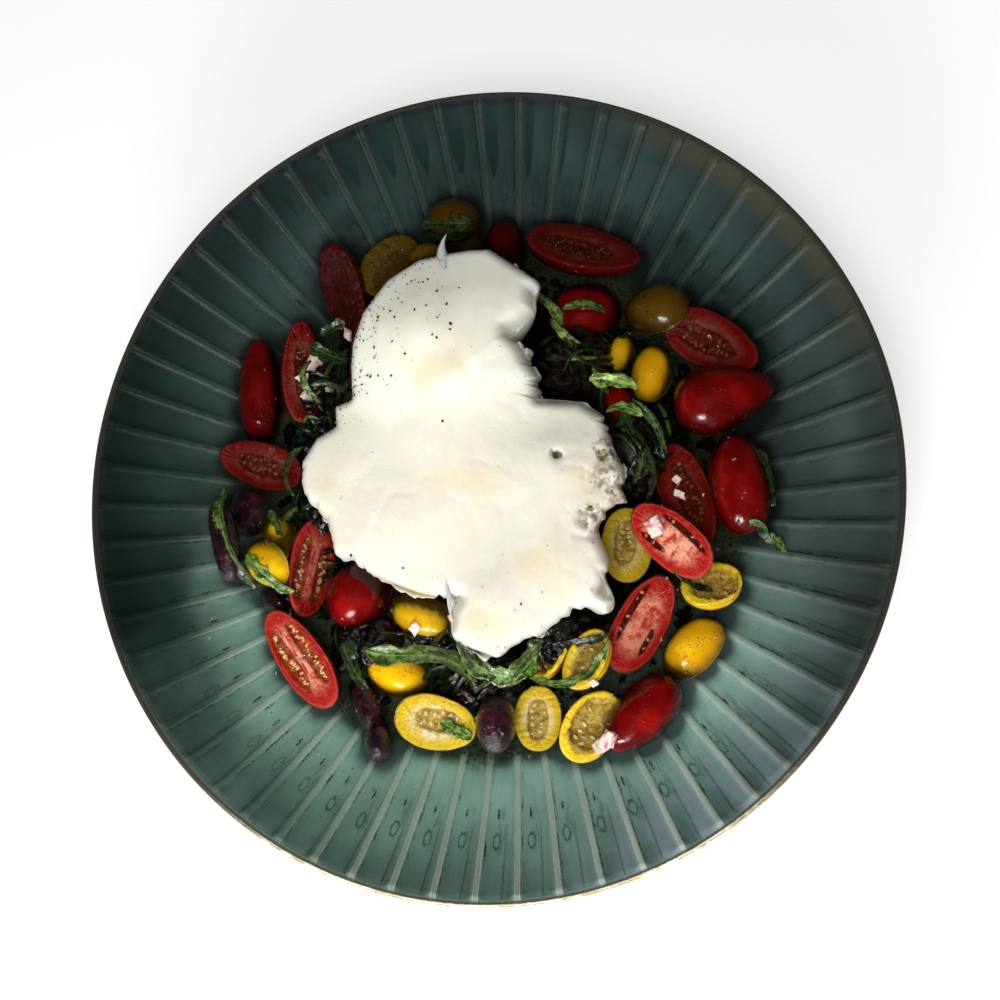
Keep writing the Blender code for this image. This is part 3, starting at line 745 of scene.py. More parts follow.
# The others' kind of cut, how pale the core is, and how bright the whole piece is: below 1, darkened by
# painted shade
LOOKS = {name: ("plain", 0.0, bright) for name, bright in PLAIN.items()} | {
    "red_half_southeast_bright": ("slits", 0.9, 0.9),
    "red_half_southeast_cut": ("slits", 0.6, 0.72),
    "red_half_southwest_cut": ("seeded", 0.8, 0.9),
    "red_half_southwest_low": ("seeded", 0.3, 0.6),
    "red_half_east_cut": ("pocket", 0.0, 0.18),
    "red_half_west_cut": ("pocket", 0.3, 0.18),
    "red_half_north": ("pocket", 0.2, 0.13),
    "red_half_northwest": ("pocket", 0.0, 0.03),
    "red_half_east_pear_cut": ("pocket", 0.3, 0.18),
    "red_half_west": ("pocket", 0.2, 0.25),
    "yellow_half_south_cut": ("pocket", 1.0, 0.85),
    "yellow_half_south_olive": ("pocket", 0.8, 0.72),
    "yellow_half_south_east_cut": ("hollow", 0.8, 1.0),
    "yellow_half_south_deep": ("hollow", 0.6, 1.0),
    "yellow_half_southeast": ("hollow", 0.5, 1.0),
    "yellow_half_east_low": ("pocket", 0.4, 0.6),
    "yellow_half_east_cut": ("hollow", 0.2, 1.0),
    "yellow_half_northwest": ("pocket", 0.0, 0.05),
}
# Ripe bulges past the plain solid: (x, y) shift in mm, then length and width factors
RIPENESS = {
    "red_half_northwest": (-1.8, 0, 1.03, 1.2),
    "yellow_half_northwest": (-2.4, -2, 1.0, 1.0),
    "red_half_west_skin": (-0.8, 0.8, 1.1, 1.12),
    "red_half_north": (0.4, 0, 1.08, 1.12),
    "red_half_northeast": (-1.8, 2.2, 1.04, 1.12),
    "red_half_east_pear": (-0.4, 1.0, 1.03, 1.08),
}


def cut_piece(name, seed, material, slot, uneven=0.35 * MM):
    """A halved round piece: its skin, and, where the cut looks up, the cut face with its wall, its
    chambers of gel and its seeds. One closed skin, and each seed a closed lump on it. Fibres run
    out from the core's line as noise."""
    place = cut_place(name)
    random = np.random.default_rng(seed)
    kind, pale, bright = LOOKS.get(name, ("plain", 0.3, 1.0))
    depth, seeds, glow, plainness = CUT_KINDS[kind]
    depth = depth * MM
    shift_x, shift_y, longer, wider = RIPENESS.get(name, (0, 0, 1, 1))
    place["middle"] = place["middle"] + np.array([shift_x * MM, shift_y * MM, 0])
    place["length"] *= longer
    place["width"] *= wider
    half = place["length"] / 2
    rows, wide = TURNS - 1, SIDES + 1
    tip, last = rows * wide, (rows - 1) * wide
    sides = np.arange(SIDES)
    faces = [
        grid_faces(rows, wide, wrap=False)[:, ::-1],
        np.stack([sides, sides + 1, 0 * sides + tip], -1),
        np.stack([last + sides + 1, last + sides, 0 * sides + tip + 1], -1),
    ]
    # The cut's outline, round from the first tip by the far side and back
    row = np.arange(rows) * wide
    outline = np.concatenate([[tip], row + SIDES, [tip + 1], row[::-1]])
    skin = skin_points(place, seed, uneven).reshape(-1, 3)
    base = np.concatenate([skin, [(-half, 0, 0), (half, 0, 0)]])
    shares = np.linspace(1, 0, CUT_RINGS + 1)[1:-1] ** 0.9
    looks_up = place["axes"][2, 2] > -0.1 and kind != "plain"
    if not looks_up:
        shares = shares[:1]
    cut = base[outline][None] * shares[:, None, None]
    a, b = cut[..., 0] / half, cut[..., 1] / (place["width"] / 2)
    chambers = chamber_rows(kind, random)
    gel = chamber(a, b, chambers, seed, 0.16) if looks_up else 0 * a
    # Fibres leave the core's line square to it, and fan out at its ends
    core_line = np.clip(a, -0.55, 0.55)
    bearing = np.arctan2(np.abs(b), (a - core_line) * 1.6 + 1e-6)
    reached = core_line * 9 - bearing * 4.5
    rays = lattice_noise(np.stack([reached, np.sign(b) * 5, np.hypot(a, b) * 1.4], -1), 1.0, seed + 9)
    bulge = 0.3 * MM * smoothstep(0, 0.12, 1 - shares)[:, None]
    fibres = 0.14 * MM * rough_noise(cut, 1.5 * MM, seed + 3, 2) + 0.1 * MM * rays
    sink = depth * gel * (1 - 0.3 * smoothstep(0.5, 1.0, gel) * (kind != "hollow"))
    cut[..., 2] += bulge + fibres - sink
    first, count = len(base), len(outline)
    points = np.concatenate([base, cut.reshape(-1, 3), [(0, 0, cut[-1, :, 2].mean())]])
    start = np.arange(count)
    after = (start + 1) % count
    faces += [
        grid_faces(len(shares), count, first=first),
        np.stack([outline, outline[after], first + after, first + start], -1),
        fan_faces(len(points) - 1, first + (len(shares) - 1) * count + start),
    ]
    on_skin = np.zeros(first)
    flesh = on_skin.copy()
    flesh[outline] = 0.35
    # Each mark on the skin, over the cut, at the cut's middle, and on the seeds
    marks = {
        "flesh": (flesh, 1 + 0 * gel, 1, 1),
        "gel": (on_skin, gel, gel[-1].mean(), 0),
        "rim": (on_skin + 1, shares[:, None] + 0 * gel, 0, 0),
        "ray": (on_skin, rays, 0, 0),
        "pip": (on_skin, 0 * gel, 0, plainness),
    }
    if looks_up and seeds:
        found, found_faces = seed_lumps(place, chambers, random, depth, seeds)
        faces += [f + len(points) for f in found_faces]
        points = np.concatenate([points, found])
    spare = len(points) - first - gel.size - 1
    for mark, (skin, over, middle, on_seeds) in marks.items():
        marks[mark] = np.concatenate([skin, over.ravel(), [middle], np.full(spare, float(on_seeds))])
    # shade: how far the whole piece is darkened by painted shade
    marks |= {"tint": random.uniform(-1, 1), "pale": pale, "shade": 1 - bright, "glow": glow}
    points = points @ place["axes"] + place["middle"]
    return dress(mesh_piece(name + "_piece", points, faces, material, marks, sharp=38), slot, name)


def seed_lumps(place, chambers, random, depth, share):
    """Flat drop-shaped seeds in the chambers, lying across them, half sunk in the gel."""
    middles, turns = [], []
    for along, across, long, wide, lean in chambers:
        lanes = 2 if wide > 0.35 else 1
        for lane in range(lanes):
            count = max(3, int(place["length"] / MM * share))
            t = (np.arange(count) + random.uniform(-0.4, 0.4, count)) / (count - 1) * 1.7 - 0.85
            a = along + long * t
            off = random.uniform(-0.45, 0.45, count) if lanes == 1 else random.uniform(0.25, 0.75, count)
            off = off * (2 * lane - 1 if lanes == 2 else 1)
            b = across + lean * (a - along) + wide * off * np.sqrt(np.clip(1 - t**2, 0, 1))
            height = -depth * 0.66 + random.uniform(-0.15, 0.12, count) * MM
            middles.append(np.stack([a * place["length"] / 2, b * place["width"] / 2, height], -1))
            turns.append(random.uniform(-0.7, 0.7, count) + math.pi / 2)
    middles, turn = np.concatenate(middles), np.concatenate(turns)
    zero = 0 * turn
    rows = [(np.cos(turn), np.sin(turn), zero), (-np.sin(turn), np.cos(turn), zero), (zero, zero, zero + 1)]
    axes = np.stack([np.stack(row, -1) for row in rows], 1)
    sizes = np.array([1.05, 0.6, 0.45]) * MM * random.uniform(0.75, 1.15, (len(middles), 1))
    return many_balls(middles, axes, sizes, 5, 10)


def tomato_finish(name, skin, skin_deep, wall, core, core_pale, gel, gel_dark, pip, deep):
    """Wet tomato. Outside, a clear gloss over skin that deepens in slow patches. On the cut a
    saturated wall, a core of fibres that run outwards, gel in the chambers, and seeds. Each piece
    is darkened by its painted shade, and more where it lies deep among its neighbours; a faint
    painted highlight runs just inside each cut's edge."""
    made = Finish(name, 0.2, Coat_Weight=0.75, Coat_Roughness=0.06, Coat_IOR=1.33, IOR=1.22)
    gloss, oily = made.group(OILY_SKIN, Patch=5.0, Grain=0.7)
    flesh, rim = made.mark("flesh"), made.mark("rim")
    outer = made.mix((made.mark("tint") * 0.1 + made.noise(11, 2, 0.5)).step(0.3, 0.7), skin_deep, skin)
    fibre, blotch = made.noise(1.0, 4, 0.65, 0.8), made.noise(3.2, 4, 0.6, 0.6)
    strands = made.mark("ray") * 0.3 + fibre
    paleness = (blotch * 0.6 + strands).step(0.55, 0.95) * (made.mark("pale") * 0.85 + 0.15)
    inner = made.mix((strands * 0.34 + rim).step(1.02, 0.6), wall, made.mix(paleness, core, core_pale))
    bright = (fibre * 0.7 + blotch).step(0.65, 1.05)
    jelly = made.mix(made.mark("glow") * bright, gel_dark, gel)
    inner = made.mix((blotch * 0.3 + made.mark("gel")).step(0.2, 0.75) * 0.92, inner, jelly)
    # A faint pale line just inside the skin on each cut face: painted highlight along the cut edge
    inner = made.mix(rim.step(0.9, 0.955) * 0.1, inner, core_pale)
    inner = made.mix(made.mark("pip") * fibre.step(0.3, 0.6, 0.6, 1.0), inner, pip)
    # Painted shade: the whole piece mixed towards near-black by its shade mark
    colour = made.mix(made.mark("shade"), made.mix(flesh, outer, inner), deep)
    # The near-black of the painted shade deep among neighbours
    crevice_shade_colour = tuple(0.25 * part for part in deep)
    made.colour(made.mix(flesh * 0.75, made.crevice_shaded(colour, crevice_shade_colour), colour))
    made.roughness(gloss.step(0, 1, 0.32, 0.14))
    drops = made.specks(1.5, 0.36) * made.noise(7, 2).step(0.5, 0.62)
    made.bump(drops * 0.7 + oily * 0.15 + flesh * (blotch * 2.5 + strands * 1.9), 0.45 * MM, 0.85)
    return made.material


def make_tomatoes():
    red = tomato_finish(
        "red_tomato",
        skin=(0.285, 0.0045, 0.0028),
        skin_deep=(0.115, 0.0016, 0.0011),
        wall=(0.44, 0.010, 0.006),
        core=(0.50, 0.035, 0.018),
        core_pale=(0.93, 0.42, 0.27),
        gel=(0.50, 0.085, 0.012),
        gel_dark=(0.075, 0.0026, 0.0014),
        pip=(0.80, 0.50, 0.20),
        deep=(0.024, 0.0007, 0.0004),
    )
    yellow = tomato_finish(
        "yellow_tomato",
        skin=(0.93, 0.58, 0.008),
        skin_deep=(0.74, 0.36, 0.002),
        wall=(0.82, 0.55, 0.012),
        core=(0.78, 0.55, 0.09),
        core_pale=(0.95, 0.86, 0.56),
        gel=(0.84, 0.58, 0.12),
        gel_dark=(0.26, 0.13, 0.005),
        pip=(0.62, 0.46, 0.14),
        deep=(0.030, 0.014, 0.001),
    )
    for place, name in enumerate(sorted(frame["nodes"])):
        if name.startswith("red_half"):
            cut_piece(name, 100 + place, red, "tomato_red")
        elif name.startswith("yellow_half"):
            cut_piece(name, 300 + place, yellow, "tomato_yellow")


# Olives -------------------------------------------------------------------------------------


def olive_finish():
    """Black-purple olive skin: purple blotches, fine wrinkles and a wet coat. The chopped bits and
    any piece lying deep among its neighbours are darkened with painted shade.
    """
    made = Finish("dark_olive", 0.25, Coat_Weight=1.0, Coat_Roughness=0.05, IOR=1.4)
    gloss, oily = made.group(OILY_SKIN, Patch=4.0, Grain=0.5)
    mottle = made.noise(4, 4, 0.6)
    skin = made.mix(mottle.step(0.4, 0.7), (0.006, 0.002, 0.003), (0.052, 0.007, 0.016))
    inner = made.mix(mottle.step(0.3, 0.7), (0.030, 0.006, 0.009), (0.075, 0.022, 0.02))
    colour = made.mix(made.mark("flesh"), skin, inner)
    # Chopped bits, marked dim, go near-black, and every piece darkens where it lies deep among its
    # neighbours: both painted shade for the gaps
    colour = made.mix(made.mark("dim") * 0.9, colour, (0.002, 0.0008, 0.001))
    made.colour(made.crevice_shaded(colour, (0.0012, 0.0008, 0.0008), 0.9, 0.6))
    made.roughness(gloss.step(0, 1, 0.35, 0.16))
    made.bump(mottle * 1.2 + oily, 0.4 * MM, 0.8)
    return made.material


def whole_olive(material):
    """The whole olive: rings along its axis, swelling as sin(turn)^0.9, flattened at both ends."""
    low, high = (np.array(c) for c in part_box("olive_whole"))
    middle, half = (low + high) / 2, (high - low) / 2
    rings, cols = 38, 48
    turn = np.linspace(0, math.pi, rings + 2)[1:-1][:, None]
    side = np.linspace(0, ROUND, cols, endpoint=False)[None]
    swell = np.sin(turn) ** 0.9
    y = -half[1] * np.cos(turn) + 0 * side
    local = np.stack([half[0] * swell * np.cos(side), y, half[2] * swell * np.sin(side)], -1)
    local *= 1 + 0.03 * rough_noise(local, 5 * MM, 8, 3)[..., None]
    poles = np.array([[0, -half[1] * 0.97, 0], [0, half[1] * 0.97, 0]])
    points = np.concatenate([local.reshape(-1, 3), poles]) + middle
    piece = mesh_piece("whole_olive", points, ring_faces(rings, cols), material, {"flesh": 0.0})
    return dress(piece, "olive_purple", "olive_whole")


def make_olives():
    finish = olive_finish()
    for place, name in enumerate(sorted(frame["nodes"])):
        if name == "olive_whole":
            whole_olive(finish)
        elif name.startswith("olive"):
            cut_piece(name, 500 + place, finish, "olive_purple", uneven=1.1 * MM)
    return finish


# Burrata ------------------------------------------------------------------------------------


def outline_reach(turn):
    """Distance from the cheese's middle to its outline in each direction: where the ray crosses
    the outline's straight pieces, the furthest of them, then averaged over about two degrees."""
    line = np.array(OUTLINE) * MM - np.array(CHEESE_CENTRE)
    after = np.roll(line, -1, axis=0)
    dx, dy = np.cos(turn)[:, None], np.sin(turn)[:, None]
    side, next_side = (line[:, 0] * dy - line[:, 1] * dx, after[:, 0] * dy - after[:, 1] * dx)
    share = side / np.where(side == next_side, 1, side - next_side)
    hit = line + share[..., None] * (after - line)
    far = hit[..., 0] * dx + hit[..., 1] * dy
    reach = np.where((share >= 0) & (share < 1) & (side != next_side), far, 0).max(axis=1)
    width = max(1, int(len(turn) * 2.5 / 360))
    window = np.hanning(width + 2)[1:-1]
    padded = np.concatenate([reach[-width:], reach, reach[:width]])
    return np.convolve(padded, window / window.sum(), "same")[width:-width]


def outline_gap(x, y):
    """Distance from each place to the outline: the least over its straight pieces, each from the
    foot of the perpendicular held between the piece's ends."""
    line = np.array(OUTLINE) * MM
    least = np.full(x.shape, 1.0)
    for (ax, ay), (bx, by) in zip(line, np.roll(line, -1, axis=0)):
        share = ((x - ax) * (bx - ax) + (y - ay) * (by - ay)) / ((bx - ax) ** 2 + (by - ay) ** 2)
        share = np.clip(share, 0, 1)
        least = np.minimum(least, np.hypot(x - ax - share * (bx - ax), y - ay - share * (by - ay)))
    return least


def cheese_rise(x, y):
    """The level and its swells over a place, above the rim's plane."""
    rise = CHEESE_LEVEL - CHEESE_RIM_Z + 0 * x
    for cx, cy, wide_x, wide_y, swell in SWELLS:
        far = ((x / MM - cx) / wide_x) ** 2 + ((y / MM - cy) / wide_y) ** 2
        rise = rise + swell * MM * np.exp(-far)
    return rise


def patches(x, y, rows):
    """The strongest of some round patches, (x, y, radius) in mm, each exp(-(far/radius)^2)."""
    best = 0 * x
    for cx, cy, radius in rows:
        far = ((x / MM - cx) ** 2 + (y / MM - cy) ** 2) / radius**2
        best = np.maximum(best, np.exp(-far))
    return best


def on_cheese(reach, turn):
    """Where a reach from the cheese's middle ends."""
    return CHEESE_CENTRE[0] + reach * np.cos(turn), CHEESE_CENTRE[1] + reach * np.sin(turn)


def make_burrata():
    """Rings from the middle out, with the height set by the distance in from the outline:
    level sqrt(1 - (1 - gap/5.5 mm)^3). Only slow dents lie on the smooth dome. The torn part has
    warped folds and curd, and a ragged edge. The side turns under in an arc."""
    rows, cols = CHEESE_GRID
    turn = np.linspace(0, ROUND, cols, endpoint=False)
    circle = circle_points(turn)
    in_dome = smoothstep(0.4, 0.65, np.cos(turn - 1.95))
    ragged = rough_noise(circle, 5 * MM, 21, 4, 0.65) * (0.35 * MM + 1.9 * MM * (1 - in_dome))
    frayed = lattice_noise(circle, 1.0 * MM, 29) * 0.75 * MM * (1 - 0.75 * in_dome)
    nibs = np.maximum(0, lattice_noise(circle, 2.2 * MM, 27) - 0.35) * 3.4 * MM * (1 - 0.6 * in_dome)
    reach = outline_reach(turn) + ragged + nibs + frayed
    shares = np.sin(np.linspace(0, math.pi / 2, rows))[1:, None] ** 0.8
    x, y = on_cheese(shares * reach, turn)
    here = flat(x, y)
    gap = np.minimum(outline_gap(x, y), (1 - shares) * reach * 1.2)
    profile = np.sqrt(np.clip(1 - (1 - np.clip(gap / CHEESE_EDGE, 0, 1)) ** 3, 0, 1))
    torn = smoothstep(34, 16, y / MM + 5 * lattice_noise(here, 16 * MM, 4))
    warp = rough_noise(here, 16 * MM, 9, 2) * 6 * MM
    warped = here + np.stack([warp, -warp, 0 * warp], -1)
    curd = rough_noise(warped, 10 * MM, 12, 4, 0.5) * 0.45 * MM
    fold = np.abs(rough_noise(warped, 17 * MM, 17, 2, 0.4))
    folds = -np.exp(-((fold / 0.09) ** 2)) * 0.2 * MM
    pores = -np.maximum(0, lattice_noise(here, 2.6 * MM, 41) - 0.25) * 3.4 * MM * patches(x, y, CURD)
    smooth = rough_noise(here, 22 * MM, 3, 2) * 0.5 * MM
    # The edge hangs higher on the dome's east, where the cheese overhangs the gap
    lift = CHEESE_LIFT * np.exp(-(((turn - 0.72) / 0.36) ** 2))
    rim_z = CHEESE_RIM_Z + lift
    rise = np.maximum(cheese_rise(x, y) - lift, 1 * MM) * profile
    dents = (curd + folds) * torn + smooth * (1 - torn) + pores - 1.8 * MM * patches(x, y, HOLES) ** 2
    top = rim_z + rise + smoothstep(0, 5 * MM, rise) * dents
    # The soft cheese slumps over its own edge towards the south-east
    slump = smoothstep(-0.3, 0.5, np.cos(turn + 0.6)) * np.clip(1 - gap / (26 * MM), 0, 1) ** 2
    slump = slump * np.maximum(top - rim_z, 0) * smoothstep(8 * MM, 2 * MM, lift)
    over = np.stack([x + 0.17 * (slump + shares * lift), y - 0.2 * slump - 0.27 * shares * lift, top], -1)
    # Then under itself: share of the reach, height in mm, and share of the lift
    under = np.array([(0.99, 23.4, 1), (0.955, 20.8, 0.9), (0.88, 18.6, 0.4), (0.78, 17, 0), (0.5, 17, 0)])
    hang = under[:, 2:] * lift
    x, y = on_cheese(under[:, :1] * reach, turn)
    below = np.stack([x + 0.17 * hang, y - 0.27 * hang, under[:, 1:2] * MM + hang], -1)
    points = np.concatenate([over, below])
    faces = ring_faces(len(points), cols)
    ends = [points[0].mean(0), points[-1].mean(0)]
    points = points.reshape(-1, 3)
    x, y = points[:, 0], points[:, 1]
    blotch = 0.5 + 0.9 * rough_noise(flat(x, y), 9 * MM, 33, 3)
    marks = {
        "torn": np.concatenate([torn.ravel(), np.ones(hang.size + 2)]),
        "cream": np.append(patches(x, y, CREAM) * np.clip(blotch, 0, 1.3), [0, 0]),
        "curd": np.append(patches(x, y, CURD), [0, 0]),
        "hole": np.append(patches(x, y, HOLES), [0, 0]),
    }
    finish = cheese_finish()
    piece = mesh_piece("torn_burrata", np.concatenate([points, ends]), faces, finish, marks)
    dress(piece, "cheese", "burrata")
    return finish


def cheese_strand(finish):
    """The drawn-out strand on the dome's north edge: a fold that starts wide inside the dome and
    tapers along a bent path, a cubic through STRAND."""
    t = np.linspace(0, 1, 28)
    rows = np.array(STRAND)
    way = np.linspace(0, 1, len(rows))
    path = np.stack([np.polyval(np.polyfit(way, rows[:, i], 3), t) for i in range(3)], -1)[None] * MM
    width = np.interp(t, way, STRAND_WIDTHS)[None] * MM
    points, faces, _ = ribbons(path, width, np.array([0.1, -0.3, 1.0]) + 0 * path, 0.5 * MM, -0.3)
    marks = {"torn": 0.0, "cream": 0.0, "curd": 0.0, "hole": 0.0}
    return dress(mesh_piece("cheese_strand", points, faces, finish, marks), "cheese")


def cheese_finish():
    """Fresh cheese: white, soft light inside it, satin and moist, with cream pooled in warm
    patches and grey-beige porous curd where it is torn deepest. Its pores and holes are coloured
    dark as painted shade."""
    made = Finish("fresh_cheese", 0.4, Subsurface_Weight=0.6, Subsurface_Scale=1.0, IOR=1.35)
    made.shader.inputs["Subsurface Radius"].default_value = (0.008, 0.0065, 0.0045)
    torn, cream, curd = made.mark("torn"), made.mark("cream"), made.mark("curd")
    cloud = made.noise(9, 3, 0.5)
    colour = made.mix(cloud.step(0.3, 0.7), (0.82, 0.80, 0.68), (0.87, 0.855, 0.75))
    colour = made.mix(torn * 0.85, colour, made.mix(cloud, (0.665, 0.65, 0.565), (0.70, 0.67, 0.565)))
    colour = made.mix(cream.step(0.05, 0.9), colour, (0.71, 0.64, 0.475))
    stain = curd.step(0.35, 0.85) * made.noise(3.2, 4, 0.65).step(0.4, 0.6)
    colour = made.mix(stain * 0.9, colour, (0.30, 0.24, 0.16))
    # Pores in the curd and the holes below go dark: painted shade in these recesses
    pores = made.specks(2.1, 0.3) * curd.step(0.3, 0.7)
    colour = made.mix(pores * 0.6, colour, (0.10, 0.07, 0.05))
    hole = made.noise(2.4, 4, 0.65) * 1.8 - 0.9 + made.mark("hole")
    deep = made.mix(made.noise(1.6, 3).step(0.4, 0.6), (0.07, 0.075, 0.035), (0.30, 0.29, 0.17))
    made.colour(made.mix(hole.step(0.45, 0.75), colour, deep))
    made.roughness(made.noise(6, 3).step(0.3, 0.7, 0.3, 0.48))
    made.bump(made.noise(0.9, 3, 0.6) * torn.step(0, 1, 0.06, 0.4) - pores, 0.4 * MM, 0.5)
    return made.material


# Salad between and over the pieces ------------------------------------------------------------


def bed_top(x, y):
    """The filling's height in metres: a level, and hills that fall off by the distance squared."""
    top = BED_Z + 0 * x
    for cx, cy, radius, peak in BED_HILLS:
        far = ((x / MM - cx) ** 2 + (y / MM - cy) ** 2) / radius**2
        top = np.maximum(top, BED_Z + (peak * MM - BED_Z) * np.maximum(0, 1 - far))
    return top


def around(field, pick):
    """Each cell's highest or lowest among itself and the eight cells around it."""
    padded = np.pad(field, 1, mode="edge")
    size = field.shape[0]
    shifts = [padded[i : i + size, j : j + size] for i in range(3) for j in range(3)]
    return pick(np.stack(shifts), axis=0)


class Relief:
    """Height of the topmost surface over square cells: the plate's, raised by each piece's points
    and closed over the cells that no point fell in."""

    def __init__(self):
        self.count = int(2 * REACH / CELL)
        side = (np.arange(self.count) + 0.5) * CELL - REACH
        x, y = np.meshgrid(side, side, indexing="ij")
        self.z = wall_z(np.hypot(x, y))

    def add(self, points):
        cells = ((points[:, :2] + REACH) / CELL).astype(int)
        inside = ((cells >= 0) & (cells < self.count)).all(axis=1)
        np.maximum.at(self.z, tuple(cells[inside].T), points[inside, 2])

    def close(self):
        self.z = around(around(self.z, np.max), np.min)

    def at(self, x, y):
        """Height by bilinear blending between the cells' middles."""
        u, v = (np.clip((side + REACH) / CELL - 0.5, 0, self.count - 1.001) for side in (x, y))
        i, j = u.astype(int), v.astype(int)
        u, v, z = u - i, v - j, self.z
        low = z[i, j] * (1 - u) + z[i + 1, j] * u
        high = z[i, j + 1] * (1 - u) + z[i + 1, j + 1] * u
        return low * (1 - v) + high * v

    def slope(self, x, y):
        """Outward unit normals from differences over 2 mm."""
        step = 1 * MM
        dx = (self.at(x + step, y) - self.at(x - step, y)) / (2 * step)
        dy = (self.at(x, y + step) - self.at(x, y - step)) / (2 * step)
        return unit(np.stack([-dx, -dy, np.ones_like(dx)], -1))

    def axes(self, x, y, guide):
        """Axes on the surface there, the first square to a guide and the third up from it; and
        that third alone."""
        normal = self.slope(x, y)
        first = unit(np.cross(normal, guide))
        return np.stack([first, np.cross(normal, first), normal], 1), normal


def piece_points(piece):
    points = np.empty(len(piece.data.vertices) * 3, np.float32)
    piece.data.vertices.foreach_get("co", points)
    return points.reshape(-1, 3).astype(float)


def buried_marks(relief, pieces):
    """How sunk each point lies among its neighbours: the mean, over rings of 2.5, 5 and 9 mm about
    it, of how far the ground there stands above it, each share held between 0 and 1. The mark sets
    how dark the painted shade in the finishes goes."""
    for piece in pieces:
        x, y, z = piece_points(piece).T
        total = 0 * x
        for radius in (2.5 * MM, 5 * MM, 9 * MM):
            for turn in np.linspace(0, ROUND, 12, endpoint=False):
                rise = relief.at(x + radius * np.cos(turn), y + radius * np.sin(turn)) - z
                total += np.clip(rise / radius, 0, 1)
        mark = piece.data.attributes.new("sunk", "FLOAT", "POINT")
        mark.data.foreach_set("value", np.clip(total / 36, 0, 1).astype(np.float32))


def bed_core():
    """The dark mass low between the pieces: rings from the middle out, with noise for its lumps,
    then back under itself. Its near-black colour is partly chopped olive and basil and partly
    painted shade in the deep gaps, and it darkens further with painted shade where it lies deep
    among its neighbours."""
    rows, cols = 44, 200
    turn = np.linspace(0, ROUND, cols, endpoint=False)[None]
    share = np.linspace(0.02, 1, rows)[:, None]
    radius = BED_R * 0.985 * share + 0 * turn
    x, y = radius * np.cos(turn), radius * np.sin(turn)
    lumps = np.abs(rough_noise(flat(x, y), 7 * MM, 61, 3)) * 6 * MM
    floor = wall_z(radius)
    raised = np.maximum(bed_top(x, y) - 3 * MM, floor) - floor + lumps
    z = floor + 0.4 * MM + smoothstep(1.0, 0.86, share) * raised
    low = floor[::-11] + 0.2 * MM
    points = np.concatenate([np.stack([x, y, z], -1), np.stack([x[::-11], y[::-11], low], -1)])
    faces = ring_faces(len(points), cols)
    points = np.concatenate([points.reshape(-1, 3), [(0, 0, z[0].mean()), (0, 0, low[-1].mean())]])
    made = Finish("dark_salad_and_gap_shade", 0.25, Coat_Weight=0.9, Coat_Roughness=0.08)
    # Near-black: partly the chopped salad's own colour, partly painted shade for the gaps
    spots = made.noise(3, 4, 0.7)
    colour = made.mix(spots.step(0.4, 0.6), (0.0012, 0.0006, 0.0008), (0.012, 0.0015, 0.002))
    colour = made.mix(made.noise(4.5, 3).step(0.55, 0.7), colour, (0.003, 0.010, 0.002))
    # Darker with painted shade where it lies deep among its neighbours
    made.colour(made.crevice_shaded(colour, (0.0008, 0.0007, 0.0006)))
    made.bump(spots + made.noise(1.2, 3), 1.2 * MM, 0.9)
    return dress(mesh_piece("chopped_salad_core", points, faces, made.material), "basil_green", "salad_bed")


def ribbons(spines, widths, ups, thick, curl, across=9):
    """Closed strips along paths. spines is (strips, steps, 3), widths (strips, steps) and ups the
    way each strip's face looks. The section is a lens, u from -1 to 1: half-thickness
    thick (1 - u^2), bent by curl u^2 half-widths. Returns points, faces, and marks of u and of the
    share along."""
    strips, steps = spines.shape[:2]
    along = unit(np.gradient(spines, axis=1))
    side = unit(np.cross(ups, along))
    up = np.cross(along, side)
    half = np.linspace(-1, 1, across)
    u = np.concatenate([half, half[-2:0:-1]])
    lens = thick * (1 - u**2) * np.concatenate([np.ones(across), -np.ones(across - 2)])
    bend = np.broadcast_to(curl, (strips, steps))
    width = widths[:, :, None] / 2
    rise = lens + bend[:, :, None] * u**2 * width
    sideways, upwards = side[:, :, None] * (u * width)[..., None], up[:, :, None] * rise[..., None]
    points = spines[:, :, None] + sideways + upwards
    # A tube of quads, and its two ends closed by quads across the lens and a triangle at each tip
    size, k = len(u), np.arange(1, across - 2)
    end = (steps - 1) * size
    quads = np.stack([k, k + 1, size - k - 1, size - k], -1)
    tips = np.array([(0, 1, size - 1), (across - 2, across - 1, across)])
    tube = np.concatenate([grid_faces(steps, size)[:, ::-1], quads, quads[:, ::-1] + end])
    faces = repeated([tube, np.concatenate([tips, tips[:, ::-1] + end])], strips, steps * size)
    marks = {"across": u, "along": np.linspace(0, 1, steps)[:, None]}
    marks = {key: np.broadcast_to(value, points.shape[:3]).ravel() for key, value in marks.items()}
    return points.reshape(-1, 3), faces, marks


